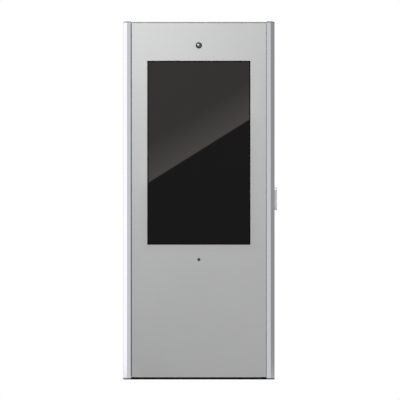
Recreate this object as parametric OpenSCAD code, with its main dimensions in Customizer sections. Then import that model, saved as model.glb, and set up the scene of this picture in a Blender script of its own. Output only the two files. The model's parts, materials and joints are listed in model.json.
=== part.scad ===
// Floor-standing information kiosk with a portrait touch screen between two aluminium columns.
// Millimetres. +Z is up, the screen faces -Y, and the origin is on the floor at the middle of the base.

/* [Body] */
// Overall height, floor to the top of the column caps
total_h = 1840; // [1800:1:1960]
// Overall width over both columns
body_w = 778; // [750:1:860]
// Depth of the columns, front to back
body_d = 200; // [190:1:240]

/* [Columns] */
// Width of one column seen from the front
column_w = 39.5; // [37:0.5:44]
// Size of the 45 degree chamfers on the outer edges
column_chamfer = 20; // [16:0.5:21]
// Wall of the extrusion
column_wall = 3; // [2.5:0.25:4]
// Height of the caps on top of the columns
cap_h = 8; // [7:0.5:12]
// Radius of the cap's outer shoulder
cap_round = 7; // [3:0.5:7]
// Height of the foot caps
foot_h = 8; // [6:0.5:12]
// Length of the spigots that plug the caps into the extrusion
spigot_l = 10; // [6:1:12]
// Clearance round a spigot
spigot_clearance = 0.2; // [0.1:0.05:0.4]
// Reach of the rebate lips from the column's inner face
lip_reach = 22; // [19:0.5:25]
// Thickness of the rebate lips
lip_t = 3; // [2:0.25:4]
// Depth of the lips behind the column's front and rear faces
lip_setback = 22; // [20:0.5:24]

/* [Front panel] */
// Shadow gap between a panel and a column
panel_gap = 3; // [2:0.5:4]
// How far the panel's face lies behind the column's front
panel_recess = 4; // [2:0.5:5]
// Sheet of the front panel
panel_t = 2.5; // [2:0.25:3]
// Width of the panel's folded flange
panel_flange = 15; // [13:0.5:17]
// Height of the panels' lower edge above the floor
panel_bottom = 13; // [11:0.5:18]
// Drop from the top of the caps to the panel's upper edge
panel_drop = 9; // [8.5:0.5:14]
// Distance from the panel's ends to the first flange screw
panel_screw_margin = 70; // [50:1:100]
// Flange screws on each side of the front panel
panel_screw_count = 6; // [4:1:8]

/* [Screen] */
// Width of the screen opening
screen_w = 530; // [500:1:540]
// Height of the screen opening
screen_h = 945; // [900:1:960]
// Height of the opening's lower edge above the floor
screen_sill = 692; // [670:1:720]
// Least height from the opening to the top of the caps, where the camera sits
screen_head = 119; // [119:1:160]
// Radius of the opening's corners
screen_corner = 2; // [1:0.5:6]
// Width of black gasket seen inside the opening
border_w = 6; // [3:0.5:10]
// Thickness of the gasket
gasket_t = 1.5; // [1:0.25:2]
// Thickness of the touch glass
glass_t = 4; // [3:0.5:5]
// Overlap of the glass behind the panel, all round
glass_lap = 30; // [26:1:34]
// Overlap of the display behind the panel, all round
lcd_lap = 20; // [16:1:22]
// Air gap between glass and display
lcd_air = 0.5; // [0.2:0.1:0.9]
// Thickness of the liquid crystal cell
cell_t = 3; // [2:0.5:4]
// Thickness of the light guide
guide_t = 6; // [4:0.5:8]
// Sheet of the display's chassis
chassis_t = 1.5; // [1:0.25:2]
// Width of the driver cover
driver_w = 300; // [240:5:360]
// Height of the driver cover
driver_h = 400; // [300:5:460]
// Depth of the driver cover
driver_d = 27; // [20:1:32]
// Sheet of the driver cover
driver_t = 1.5; // [1:0.25:2]

/* [Display frame] */
// Sheet of the ring that presses the glass forward
ring_t = 2; // [1.5:0.25:3]
// Gap between the ring and the display's chassis
ring_gap = 2; // [1:0.5:4]
// Distance from the glass edge to a weld stud
stud_offset = 12; // [10:0.5:13]
// Distance from a stud to the ring's outer edge
stud_edge = 13; // [10:0.5:14]
// Radius of the studs' threads
stud_r = 2.5; // [2:0.25:3]
// Radius of the studs' shoulders
stud_shoulder_r = 4; // [3.5:0.25:5]
// Height between the side studs
stud_pitch = 350; // [280:5:400]
// Distance of the end studs from the middle of the screen
stud_end_x = 180; // [120:5:220]
// Sheet of the clamps that hold the display
clamp_t = 2; // [1.5:0.25:2.5]
// Length of a clamp along the display's edge
clamp_l = 40; // [25:1:60]
// Reach of a clamp over the display's back
clamp_reach = 18; // [12:1:24]
// Height of a nut
nut_h = 4; // [3:0.5:5]

/* [Camera and microphone] */
// Height of the camera above the screen opening
camera_rise = 79; // [74:1:84]
// Radius of the camera's bezel
camera_r = 16; // [15:0.5:18]
// Radius of the camera's window
camera_lens_r = 10.75; // [8:0.25:11.5]
// How far the bezel stands out of the panel
bezel_proud = 1.5; // [0.5:0.25:3]
// Wall of the bezel's threaded barrel
barrel_wall = 3.15; // [2:0.05:3.5]
// Length of the bezel's barrel behind the panel's face
barrel_l = 13; // [12:0.5:16]
// Thickness of the camera's window
camera_lens_t = 2.3; // [1.5:0.1:3]
// Width of the step that the camera's window rests on
camera_step = 1.75; // [1:0.25:3]
// Width of the camera module
module_w = 36; // [34:1:44]
// Height of the camera module
module_h = 28; // [24:1:34]
// Depth of the camera module
module_d = 20; // [14:1:30]
// Sheet of the camera's bracket
bracket_sheet = 1.5; // [1:0.25:2]
// Width of the camera's ring nut
camera_nut_wall = 4; // [3:0.5:5]
// Drop from the screen opening to the microphone
mic_drop = 76; // [68:1:90]
// Radius of the microphone's grille
mic_r = 8; // [7:0.5:9]
// How far the grille stands out of the panel
mic_proud = 0.8; // [0.5:0.1:1.5]
// Radius of the microphone's stem
mic_stem_r = 6; // [5.5:0.25:6.5]
// Radius of the sound holes
mic_hole_r = 0.7; // [0.5:0.1:0.8]
// Length of the microphone capsule
mic_capsule_l = 9; // [7:0.5:14]

/* [Side reader] */
// Height of the reader's middle above the floor
reader_z = 929; // [850:1:1000]
// Height of the reader
reader_h = 118; // [100:1:130]
// Width of the reader, front to back
reader_w = 72; // [60:1:84]
// Thickness of the reader
reader_t = 12.5; // [11:0.5:18]
// Corner radius of the reader
reader_corner = 16; // [10:0.5:20]
// Radius of the reader's front edge
reader_edge = 3; // [2:0.5:4]
// Wall of the reader's cover
reader_wall = 2.5; // [2:0.25:3]
// Thickness of the reader's back plate
reader_plate_t = 2; // [1.5:0.25:3]
// Width of the reader's window
reader_window_w = 40; // [30:1:44]
// Height of the reader's window
reader_window_h = 62; // [50:1:70]
// Radius of the cable hole behind the reader
reader_cable_r = 6; // [4:0.5:8]
// Distance of the reader's screws from its middle, across
reader_screw_y = 22; // [16:0.5:24]
// Distance of the reader's screws from its middle, up
reader_screw_z = 44; // [36:0.5:46]

/* [Base] */
// Thickness of the base plate
base_t = 5; // [4:0.5:8]
// How far the base plate lies behind the columns' faces
base_setback = 8; // [6:0.5:12]
// Distance between the floor anchors, across
anchor_x = 560; // [500:1:600]
// Distance between the floor anchors, front to back
anchor_y = 120; // [80:1:130]
// Radius of the anchor holes
anchor_r = 7; // [5:0.5:8]
// Depth of the rubber strips on the base plate
strip_d = 10; // [6:0.5:12]
// Length of the base brackets' legs
bracket_leg = 50; // [44:1:60]
// Width of the base brackets
bracket_w = 40; // [24:1:44]
// Thickness of the base brackets
bracket_t = 4; // [3:0.5:5]
// Distance of the brackets from the middle, front to back
bracket_y = 45; // [38:1:48]
// Radius of the cable entry's bore
cable_r = 14; // [10:0.5:16]
// Wall of the grommet in its hole
grommet_wall = 6; // [3:0.5:7]
// Height of the grommet's collar
grommet_collar = 3; // [2:0.5:5]
// Place of the cable entry behind the middle
cable_y = 40; // [30:1:45]

/* [Frame] */
// Height of a cross rail
rail_h = 40; // [36:1:50]
// Depth of a cross rail
rail_d = 30; // [24:1:40]
// Sheet of the cross rails
rail_t = 2.5; // [2:0.25:3]
// Distance of the rails from the screen opening
rail_offset = 60; // [50:1:70]
// Gap between the driver cover and the rails
rail_gap = 10; // [6:0.5:14]
// Height of the equipment shelf above the floor
shelf_z = 380; // [340:1:460]
// Depth of the equipment shelf
shelf_d = 120; // [118:1:136]
// Height of the shelf's end tabs
shelf_tab_h = 32; // [28:1:40]
// Height of the shelf's front and rear lips
shelf_lip_h = 10; // [6:0.5:14]
// Sheet of the shelf and of the top cover
sheet_t = 2; // [1.5:0.25:2.5]
// Drop from the caps to the top cover
cover_drop = 4; // [3:0.5:6]
// Height of the top cover's inner flanges
cover_skirt = 44; // [40:1:56]

/* [Rear door] */
// Sheet of the door and of the connection panel
door_t = 2; // [1.5:0.25:2.5]
// Width of the door's folded flange
door_flange = 20; // [18:0.5:22]
// Gap above and below the door
door_gap = 3; // [2:0.5:5]
// Height of the connection panel's upper edge
connection_top = 137; // [120:1:160]
// Thickness of the foam seal
seal_t = 4; // [3:0.5:5]
// Width of the foam seal
seal_w = 12; // [8:0.5:13]
// Gap between the seal and the lips with the door closed
seal_gap = 0.2; // [0.1:0.05:0.4]
// Rise of the sill that the door closes on
sill_rise = 22; // [20:1:30]
// Length of the vent slots
vent_l = 96; // [70:1:100]
// Width of the vent slots
vent_w = 5; // [3:0.5:6]
// Distance between the vent slots
vent_pitch = 11; // [9:0.5:14]

/* [Hinges] */
// Radius of the hinge knuckles
knuckle_r = 4.5; // [4:0.25:5]
// Radius of the hinge pins
pin_r = 2.5; // [2:0.25:3]
// Running clearance of the hinge pins
pin_clearance = 0.05; // [0.03:0.01:0.08]
// Thickness of the hinge leaves
leaf_t = 2.5; // [2:0.25:3]
// Length of a hinge
hinge_l = 80; // [60:1:110]
// Clearance between the knuckles
knuckle_gap = 0.3; // [0.2:0.05:0.5]
// Width of the leaf on the door
door_leaf_w = 21; // [18:0.5:30]
// Distance from the door's ends to the outer hinges
hinge_margin = 150; // [110:1:250]

/* [Locks] */
// Radius of the lock's threaded body
lock_r = 9.5; // [8.5:0.25:10]
// Radius of the lock's outer flange
lock_flange_r = 12; // [11.5:0.25:13]
// Thickness of the lock's outer flange
lock_flange_t = 2; // [1.5:0.25:3]
// Radius of the turning barrel
barrel_r = 6; // [5.75:0.25:6.5]
// Side of the barrel's square end
barrel_square = 8; // [7:0.1:8]
// Distance from the lip's edge to the lock
lock_edge = 12.5; // [11:0.5:15]
// Reach of the cam from the lock's axis
cam_reach = 26; // [22:0.5:28]
// Width of the cam
cam_w = 16; // [14:0.5:18]
// Thickness of the cam
cam_t = 3; // [2:0.25:4]
// Gap between a turned cam and the lip
cam_gap = 0.5; // [0.3:0.1:1]
// Height of the lower lock above the door's lower edge
lock_low = 360; // [330:1:420]
// Drop of the upper lock below the door's upper edge
lock_high = 380; // [340:1:450]

/* [Fans and filter] */
// Side of a fan's frame
fan_side = 120; // [116:1:126]
// Depth of a fan
fan_d = 25; // [24:0.5:28]
// Radius of the air passage
fan_bore_r = 57.5; // [54:0.5:57.5]
// Distance between the corner holes
fan_hole_pitch = 105; // [102:0.5:105]
// Radius of the rotor's hub
fan_hub_r = 20; // [18:0.5:24]
// Number of blades
blade_count = 7; // [5:1:9]
// Clearance at the blade tips
tip_clearance = 2; // [1:0.5:3]
// Pitch angle of the blades
blade_pitch = 35; // [28:1:36]
// Chord of the blades
blade_chord = 27; // [20:0.5:28]
// Thickness of the blades
blade_t = 2; // [1.5:0.25:3]
// Radius of the rotor's shaft
shaft_r = 1.5; // [1.25:0.25:2]
// Distance of a fan from the middle of the door
fan_x = 100; // [75:1:130]
// Drop from the door's upper edge to the fans' middle
fan_drop = 140; // [110:1:180]
// Width of the fan guards' rings
guard_ring_w = 2.5; // [2:0.25:3]
// Thickness of the fan guards
guard_t = 1.2; // [1:0.1:2]
// Width of the filter's frame
filter_w = 360; // [320:5:420]
// Height of the filter's frame
filter_h = 130; // [120:1:150]
// Depth of the filter's frame
filter_d = 14; // [12:0.5:16]
// Wall of the filter's frame
filter_wall = 4; // [3:0.5:6]
// Thickness of the filter mat
mat_t = 10; // [6:0.5:10]
// Rise of the filter's middle above the door's lower edge
filter_rise = 120; // [100:1:150]

/* [Connections] */
// Width of the mains inlet's body
inlet_w = 27.5; // [26:0.25:29]
// Height of the mains inlet's body
inlet_h = 20; // [19:0.25:22]
// Depth of the mains inlet behind the panel
inlet_d = 18; // [16:0.5:19]
// Place of the mains inlet beside the middle
inlet_x = 240; // [220:1:270]
// Length of the switch's frame opening
switch_l = 22; // [21:0.5:25]
// Width of the switch's frame opening
switch_w = 15; // [14:0.5:18]
// Place of the switch beside the middle
switch_x = 190; // [182:1:196]
// Tilt of the rocker to either side
rocker_tilt = 8; // [6:0.5:9]
// Place of the network socket beside the middle
data_x = 140; // [110:1:146]
// Height of the connectors above the connection panel's lower edge
connector_rise = 62; // [45:1:70]

/* [Computer] */
// Width of the computer
computer_w = 210; // [160:1:240]
// Depth of the computer
computer_d = 112; // [96:1:112]
// Height of the computer
computer_h = 58; // [50:1:80]
// Sheet of the computer's case
computer_t = 1.5; // [1:0.25:2]
// Place of the computer's outer side beside the middle
computer_x = -250; // [-290:1:-240]
// Radius of the power button
button_r = 6; // [5:0.25:7]
// Travel of the power button
button_travel = 1.5; // [1:0.1:2]
// How far the power button stands out
button_proud = 2.2; // [2.2:0.1:3]
// Width of the power supply
supply_w = 180; // [140:1:220]
// Depth of the power supply
supply_d = 90; // [70:1:110]
// Height of the power supply
supply_h = 45; // [35:1:60]
// Place of the power supply's inner side beside the middle
supply_x = 60; // [40:1:80]

/* [Fasteners] */
// Radius of the cabinet screws
cabinet_screw_r = 3; // [2.5:0.25:3.5]
// Length of the cabinet screws
cabinet_screw_l = 8.5; // [7.5:0.25:8.75]
// Radius of the panel screws
panel_screw_r = 2.5; // [2:0.25:2.75]
// Length of the panel screws
panel_screw_l = 8; // [7:0.5:9]
// Radius of the door screws
door_screw_r = 2; // [1.5:0.25:2.25]
// Length of the door screws
door_screw_l = 10; // [8:0.5:11]
// Radius of the hinge screws
hinge_screw_r = 2; // [1.75:0.25:2.25]
// Length of the hinge screws
hinge_screw_l = 10; // [7:0.5:11]
// Radius of the small screws
small_screw_r = 1.5; // [1.25:0.25:1.75]
// Length of the small screws
small_screw_l = 6; // [5.5:0.25:7]
// Clearance round every screw
screw_clearance = 0.05; // [0.03:0.01:0.1]

/* [Hidden] */
$fn = 48;

// Overshoot of cutting tools past the faces they cut
cut = 1;
// Sides of a hexagon
hex = 6;
// Ratio of a hexagon's corner radius to half its width across flats
hex_corner = 1 / cos(30);
both = [-1, 1];

half_w = body_w / 2;
half_d = body_d / 2;
column_in = half_w - column_w;
column_top = total_h - cap_h;
lip_front = -half_d + lip_setback;
lip_rear = half_d - lip_setback;
lip_edge = column_in - lip_reach;
// Gap between the lips and the flanges that close the space between them
landing_gap = 0.5;

panel_half = column_in - panel_gap;
panel_face = -half_d + panel_recess;
panel_inner = panel_face + panel_t;
panel_top = total_h - panel_drop;
panel_screw_x = panel_half - (panel_flange + panel_t) / 2;
panel_screw_zs = spread(
  panel_screw_count, panel_bottom + panel_screw_margin, panel_top - panel_screw_margin
);

// A screen too tall for its cabinet stands lower than the sill, so that the camera keeps its room
screen_bottom = min(screen_sill, total_h - screen_head - screen_h);
screen_top = screen_bottom + screen_h;
screen_z = screen_bottom + screen_h / 2;
glass_half = screen_w / 2 + glass_lap;
glass_half_h = screen_h / 2 + glass_lap;
gasket_back = panel_inner + gasket_t;
glass_back = gasket_back + glass_t;
lcd_half = screen_w / 2 + lcd_lap;
lcd_half_h = screen_h / 2 + lcd_lap;
lcd_front = glass_back + lcd_air;
cell_back = lcd_front + cell_t;
guide_back = cell_back + guide_t;
lcd_back = guide_back + chassis_t;
// Clearance round the cell and light guide in their chassis
cell_clearance = 0.5;
driver_back = lcd_back + driver_d;
driver_margin = 60;
ring_back = glass_back + ring_t;
stud_x = glass_half + stud_offset;
stud_end_z = glass_half_h + stud_offset;
side_studs = [for (s = both) for (k = [-1, 0, 1]) [s * stud_x, screen_z + k * stud_pitch]];
end_studs = [for (s = both) for (k = both) [s * stud_end_x, screen_z + k * stud_end_z]];
stud_end = ring_back + clamp_t + nut_h + stud_r;
stud_clearance = 0.25;
stud_hole_r = stud_r + stud_clearance;
clamp_inset = 3;
nut_r = stud_r * 1.6 * hex_corner;

camera_z = screen_top + camera_rise;
camera_barrel_r = camera_lens_r + barrel_wall;
camera_front = panel_face - bezel_proud;
camera_end = panel_face + barrel_l;
camera_step_y = camera_front + camera_lens_t + 0.5;
fit_gap = 0.1;
camera_bracket_back = panel_inner + bracket_sheet;
camera_half = module_w / 2 + bracket_sheet;
camera_room = 1;
camera_nut_t = 4;
mic_z = screen_bottom - mic_drop;
mic_wall = 1.3;
mic_stem_l = 4;
mic_board = 22;
mic_board_t = 1.6;
mic_plate_t = 0.7;

reader_face = half_w + reader_t;
reader_cable_z = reader_z - reader_h / 4;
window_step = 2;
window_t = 2.2;
window_corner = 8;

strip_gap = 0.5;
bracket_hole = bracket_leg * 0.6;
foot_hole_x = column_in - bracket_hole;
grommet_r = cable_r + grommet_wall;
grommet_lip = 4;
grommet_lift = 0.5;

cover_top = total_h - cover_drop;
cover_under = cover_top - sheet_t;
cover_edge = panel_top + landing_gap;
cover_screw_y = 40;
cover_screw_rise = 12;
cover_screw_drop = 8;
cover_screw_z = column_top - spigot_l - cover_screw_drop;
cover_tab_bottom = cover_screw_z - cover_screw_rise;
cover_tab_gap = 5;
cover_tab_half = half_d - lip_setback - lip_t - cover_tab_gap;

rail_front = driver_back + rail_gap;
rail_zs = [
  screen_bottom - rail_offset - rail_h,
  min(screen_top + rail_offset, cover_tab_bottom - landing_gap - rail_h)
];
rail_screw_y = rail_front + rail_d / 2;
rail_screw_inset = 10;
shelf_screw_inset = 25;
shelf_screw_y = shelf_d / 2 - shelf_screw_inset;
shelf_screw_rise = 20;
shelf_screw_z = shelf_z + shelf_screw_rise;
shelf_slot_margin = 30;
shelf_slot_pitch = 20;

door_bottom = connection_top + door_gap;
door_top = cover_edge - door_gap;
door_back = lip_rear + seal_gap + seal_t;
door_inner = half_d - door_t;
seal_inset = 4;
lock_x = lip_edge - lock_edge;
lock_zs = [door_bottom + lock_low, door_top - lock_high];
cam_front = lip_rear - lip_t - cam_gap;
cam_back = cam_front - cam_t;
lock_cam_room = 1;
lock_end = cam_front + lock_cam_room;
lock_nut_t = 5;
lock_nut_wall = 2;
lock_thread_r = 3;
lock_clearance = 0.05;

axis_x = -(column_in - panel_gap / 2);
knuckle_lift = 0.5;
axis_y = half_d + knuckle_lift + knuckle_r;
knuckle_count = 5;
knuckle_l = hinge_l / knuckle_count;
hinge_zs = spread(3, door_bottom + hinge_margin, door_top - hinge_margin);
leaf_room = 1;
leaf_clear = knuckle_r + leaf_room;
frame_leaf_end = -(half_w - column_chamfer - leaf_room);
frame_screw_x = (frame_leaf_end + axis_x - leaf_clear) / 2;
door_leaf_end = axis_x + leaf_clear + door_leaf_w;
door_screw_x = axis_x + leaf_clear + door_leaf_w * 0.6;
hinge_screw_pitch = hinge_l * 0.6;
hinge_head_r = hinge_screw_r * 2;
pin_head_h = 2;

fan_z = door_top - fan_drop;
fan_corner = 5;
fan_plate_t = 4;
fan_boss_r = 4;
fan_boss_l = 14;
fan_strut_w = 6;
rotor_gap = 1;
rotor_start = fan_plate_t + rotor_gap;
rotor_recess = 2;
rotor_end = fan_d - rotor_recess;
rotor_wall = 2.5;
blade_r = fan_bore_r - tip_clearance;
guard_rings = [for (k = [1 : 4]) fan_hub_r / 2 + k * (fan_side / 2 - fan_hub_r / 2 - guard_ring_w) / 4];
filter_z = door_bottom + filter_rise;
filter_boss = 9;
filter_screw_x = filter_w / 2 - filter_boss / 2 - filter_wall / 2;
filter_screw_z = filter_h / 2 - filter_boss / 2 - filter_wall / 2;
filter_bar_t = filter_d - mat_t - fit_gap;

connector_z = panel_bottom + connector_rise;
inlet_flange_t = 3;
inlet_ear = 10.5;
inlet_rim = 3;
inlet_flange_w = inlet_w + 2 * inlet_ear;
inlet_flange_h = inlet_h + 2 * inlet_rim;
inlet_screw_offset = 6;
inlet_screw_x = inlet_w / 2 + inlet_screw_offset;
inlet_wall = 2;
inlet_pin = [2, 4];
inlet_pin_l = 12;
switch_wall = 2;
switch_flange = 2;
switch_flange_t = 2;
switch_d = 16;
pivot_sink = 1;
pivot_y = half_d - pivot_sink;
pivot_r = 1.5;
pivot_clearance = 0.05;
rocker_l = switch_l - 1.6;
rocker_w = switch_w - 0.6;
rocker_rise = 4;
rocker_dip = 2.6;
rocker_depth = 8;
rocker_foot = 14;
data_flange = [26, 31];
data_flange_t = 2.5;
data_body = [17, 20];
data_body_d = 16;
data_hole = [12, 9];
data_hole_d = 13;
data_screw_z = 12.5;

shelf_floor = shelf_z + sheet_t;
computer_back = computer_d / 2;
button_inset = 30;
button_x = computer_x + button_inset;
button_z = shelf_floor + computer_h / 2;
button_collar = 1.5;
button_collar_t = 2;
button_clearance = 0.05;
button_stop_t = 6;
port_size = [14, 7];
port_pitch = 24;
port_count = 5;
case_slot = [3, 60];
case_slot_pitch = 12;
case_slot_margin = 20;
supply_slot_margin = 15;

cabinet_head_r = cabinet_screw_r * 1.75;
cabinet_head_h = cabinet_screw_r * 1.1;
panel_head_r = panel_screw_r * 1.8;
panel_head_h = panel_screw_r * 1.1;
door_head_r = door_screw_r * 2;
door_head_h = door_screw_r * 1.1;
small_head_r = small_screw_r * 1.9;
small_head_h = small_screw_r * 1.2;

// Places of the screws into the columns' inner faces: depth, height and the sheet under the head
bracket_sites = [for (s = both) [s * bracket_y, base_t + bracket_hole, bracket_t]];
rail_sites = [
  for (z = rail_zs) for (z_end = [rail_screw_inset, rail_h - rail_screw_inset])
    [rail_screw_y, z + z_end, rail_t]
];
shelf_sites = [for (s = both) [s * shelf_screw_y, shelf_screw_z, sheet_t]];
cover_sites = [for (s = both) [s * cover_screw_y, cover_screw_z, sheet_t]];
side_sites = concat(bracket_sites, rail_sites, shelf_sites, cover_sites);
reader_sites = [for (y = both) for (z = both) [y * reader_screw_y, reader_z + z * reader_screw_z]];
connection_screw_x = panel_half - (panel_flange + door_t) / 2;
connection_screw_inset = 15;
connection_screw_zs = [
  panel_bottom + panel_flange + connection_screw_inset,
  connection_top - panel_flange - connection_screw_inset
];

// Evenly spread values from a first to a last one
function spread(n, first, last) = [for (i = [0 : n - 1]) first + i * (last - first) / (n - 1)];

// A block between two corners, in any order
module span(x0, x1, y0, y1, z0, z1)
  translate([min(x0, x1), min(y0, y1), min(z0, z1)])
    cube([abs(x1 - x0), abs(y1 - y0), abs(z1 - z0)]);

// A flat outline drawn in X and Z, made solid between two depths
module plate_y(y0, y1)
  translate([0, max(y0, y1), 0]) rotate([90, 0, 0]) linear_extrude(abs(y1 - y0)) children();

// A flat outline drawn in Y and Z, made solid between two places along X
module plate_x(x0, x1)
  translate([min(x0, x1), 0, 0]) rotate([90, 0, 90]) linear_extrude(abs(x1 - x0)) children();

module rod_y(r, y0, y1)
  translate([0, max(y0, y1), 0]) rotate([90, 0, 0]) cylinder(r = r, h = abs(y1 - y0));

module rod_x(r, x0, x1)
  translate([min(x0, x1), 0, 0]) rotate([0, 90, 0]) cylinder(r = r, h = abs(x1 - x0));

module round_rect(w, h, r) {
  square([w - 2 * r, h], center = true);
  square([w, h - 2 * r], center = true);
  for (x = both) for (y = both) translate([x * (w / 2 - r), y * (h / 2 - r)]) circle(r);
}

module slot(l, w) {
  square([l - w, w], center = true);
  for (s = both) translate([s * (l - w) / 2, 0]) circle(d = w);
}

// A folded sheet-metal tray: face, four returns and an inward flange at the back
module folded_tray(half, z0, z1, face, back, t, flange) {
  into = sign(back - face);
  difference() {
    span(-half, half, face, back, z0, z1);
    span(-half + t, half - t, face + into * t, back - into * t, z0 + t, z1 - t);
    span(
      -half + flange, half - flange, back - into * (t + cut), back + into * cut,
      z0 + flange, z1 - flange
    );
  }
}

// A button-head screw with a hexagon socket: seat at zero, shank along +Z
module screw(r, l, head_r, head_h) {
  cylinder(r = r, h = l);
  difference() {
    translate([0, 0, -head_h]) cylinder(r1 = head_r * 0.72, r2 = head_r, h = head_h);
    translate([0, 0, -head_h - cut]) cylinder(r = r * 0.6, h = head_h * 0.6 + cut, $fn = hex);
  }
}

module hex_nut(corner_r, bore_r, h) {
  difference() {
    cylinder(r = corner_r, h = h, $fn = hex);
    translate([0, 0, -cut]) cylinder(r = bore_r, h = h + 2 * cut);
  }
}

// The right-hand column's outline in plan, with its wall drawn in by an inset
module column_plan(inset) {
  c = column_chamfer - inset * (2 - sqrt(2));
  x0 = column_in + inset;
  x1 = half_w - inset;
  y1 = half_d - inset;
  polygon([[x0, -y1], [x1 - c, -y1], [x1, -y1 + c], [x1, y1 - c], [x1 - c, y1], [x0, y1]]);
}

// The right-hand extrusion: chamfered hollow box with a rebate lip towards each panel
module column_extrusion() {
  difference() {
    translate([0, 0, foot_h]) linear_extrude(column_top - foot_h) {
      difference() {
        column_plan(0);
        column_plan(column_wall);
      }
      for (y = [lip_front, lip_rear - lip_t])
        translate([lip_edge, y]) square([lip_reach + column_wall / 2, lip_t]);
    }
    for (site = side_sites)
      translate([0, site[0], site[1]])
        rod_x(cabinet_screw_r + screw_clearance, column_in - cut, column_in + column_wall + cut);
    for (z = panel_screw_zs)
      translate([panel_screw_x, 0, z])
        rod_y(panel_screw_r + screw_clearance, lip_front - cut, lip_front + lip_t + cut);
    for (z = connection_screw_zs)
      translate([connection_screw_x, 0, z])
        rod_y(panel_screw_r + screw_clearance, lip_rear - lip_t - cut, lip_rear + cut);
  }
}

module column_left() {
  color("gainsboro") difference() {
    mirror([1, 0, 0]) column_extrusion();
    for (z = hinge_zs) for (s = both)
      translate([frame_screw_x, 0, z + s * hinge_screw_pitch / 2])
        rod_y(hinge_screw_r + screw_clearance, half_d - column_wall - cut, half_d + cut);
  }
}

module column_right() {
  color("gainsboro") difference() {
    column_extrusion();
    for (site = reader_sites)
      translate([0, site[0], site[1]])
        rod_x(small_screw_r + screw_clearance, half_w - column_wall - cut, half_w + cut);
    translate([0, 0, reader_cable_z]) rod_x(reader_cable_r, half_w - column_wall - cut, half_w + cut);
  }
}

module column_cap() {
  r = min(cap_round, cap_h);
  intersection() {
    translate([0, 0, column_top]) linear_extrude(cap_h) column_plan(0);
    plate_y(-half_d - cut, half_d + cut) {
      translate([column_in, column_top]) square([column_w - r, cap_h]);
      translate([column_in, column_top]) square([column_w, cap_h - r]);
      translate([half_w - r, total_h - r]) circle(r);
    }
  }
  translate([0, 0, column_top - spigot_l]) linear_extrude(spigot_l + cap_h / 2)
    column_plan(column_wall + spigot_clearance);
}

module column_caps() {
  color("darkgray") {
    column_cap();
    mirror([1, 0, 0]) column_cap();
  }
}

module column_foot() {
  linear_extrude(foot_h) column_plan(0);
  translate([0, 0, foot_h / 2]) linear_extrude(spigot_l + foot_h / 2)
    column_plan(column_wall + spigot_clearance);
}

module column_feet() {
  color("gray") {
    column_foot();
    mirror([1, 0, 0]) column_foot();
  }
}

module base_plate() {
  y = half_d - base_setback;
  color([0.1, 0.1, 0.1]) difference() {
    span(-column_in, column_in, -y, y, 0, base_t);
    for (x = both) for (s = both) {
      translate([x * anchor_x / 2, s * anchor_y / 2, -cut]) cylinder(r = anchor_r, h = base_t + 2 * cut);
      translate([x * foot_hole_x, s * bracket_y, -cut])
        cylinder(r = cabinet_screw_r + screw_clearance, h = base_t + 2 * cut);
    }
    translate([0, cable_y, -cut]) cylinder(r = grommet_r + fit_gap, h = base_t + 2 * cut);
  }
}

// Rubber strips that close the slot under the front panel and the connection panel
module base_seals() {
  y = half_d - base_setback - 2;
  color([0.07, 0.07, 0.07]) for (s = both)
    span(-panel_half, panel_half, s * y, s * (y - strip_d), base_t, panel_bottom - strip_gap);
}

module base_bracket() {
  difference() {
    union() {
      span(column_in - bracket_leg, column_in, -bracket_w / 2, bracket_w / 2, base_t, base_t + bracket_t);
      span(column_in - bracket_t, column_in, -bracket_w / 2, bracket_w / 2, base_t, base_t + bracket_leg);
      rib = bracket_leg * 0.3;
      for (s = both)
        translate([0, s * (bracket_w - bracket_t) / 2, base_t + bracket_t])
          plate_y(-bracket_t / 2, bracket_t / 2)
            translate([column_in - bracket_t, 0]) polygon([[0, 0], [-rib, 0], [0, rib]]);
    }
    translate([0, 0, base_t + bracket_hole])
      rod_x(cabinet_screw_r + screw_clearance, column_in - bracket_t - cut, column_in + cut);
    translate([foot_hole_x, 0, base_t - cut])
      cylinder(r = cabinet_screw_r + screw_clearance, h = bracket_t + 2 * cut);
  }
}

module base_brackets() {
  color("dimgray") for (s = both) translate([0, s * bracket_y, 0]) {
    base_bracket();
    mirror([1, 0, 0]) base_bracket();
  }
}

// A folded channel with closed ends, open to the rear
module cross_rail(z) {
  difference() {
    span(-column_in, column_in, rail_front, rail_front + rail_d, z, z + rail_h);
    span(
      -column_in + rail_t, column_in - rail_t, rail_front + rail_t, rail_front + rail_d + cut,
      z + rail_t, z + rail_h - rail_t
    );
    for (s = both) for (z_end = [rail_screw_inset, rail_h - rail_screw_inset])
      translate([s * column_in, rail_screw_y, z + z_end])
        rod_x(cabinet_screw_r + screw_clearance, -rail_t - cut, rail_t + cut);
  }
}

module cross_rails() {
  color("silver") for (z = rail_zs) cross_rail(z);
}

module equipment_shelf() {
  y = shelf_d / 2;
  slot_l = shelf_d - 2 * shelf_slot_margin;
  color("silver") difference() {
    union() {
      span(-column_in, column_in, -y, y, shelf_z, shelf_floor);
      for (s = both) {
        span(s * column_in, s * (column_in - sheet_t), -y, y, shelf_z, shelf_z + shelf_tab_h);
        span(-column_in, column_in, s * y, s * (y - sheet_t), shelf_z, shelf_z + shelf_lip_h);
      }
    }
    for (site = shelf_sites)
      for (s = both)
        translate([s * column_in, site[0], site[1]])
          rod_x(cabinet_screw_r + screw_clearance, -sheet_t - cut, sheet_t + cut);
    for (k = [-2 : 2])
      translate([k * shelf_slot_pitch + (computer_x + computer_w + supply_x) / 2, 0, shelf_z - cut])
        linear_extrude(sheet_t + 2 * cut) rotate(90) slot(slot_l, vent_w);
  }
}

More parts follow.
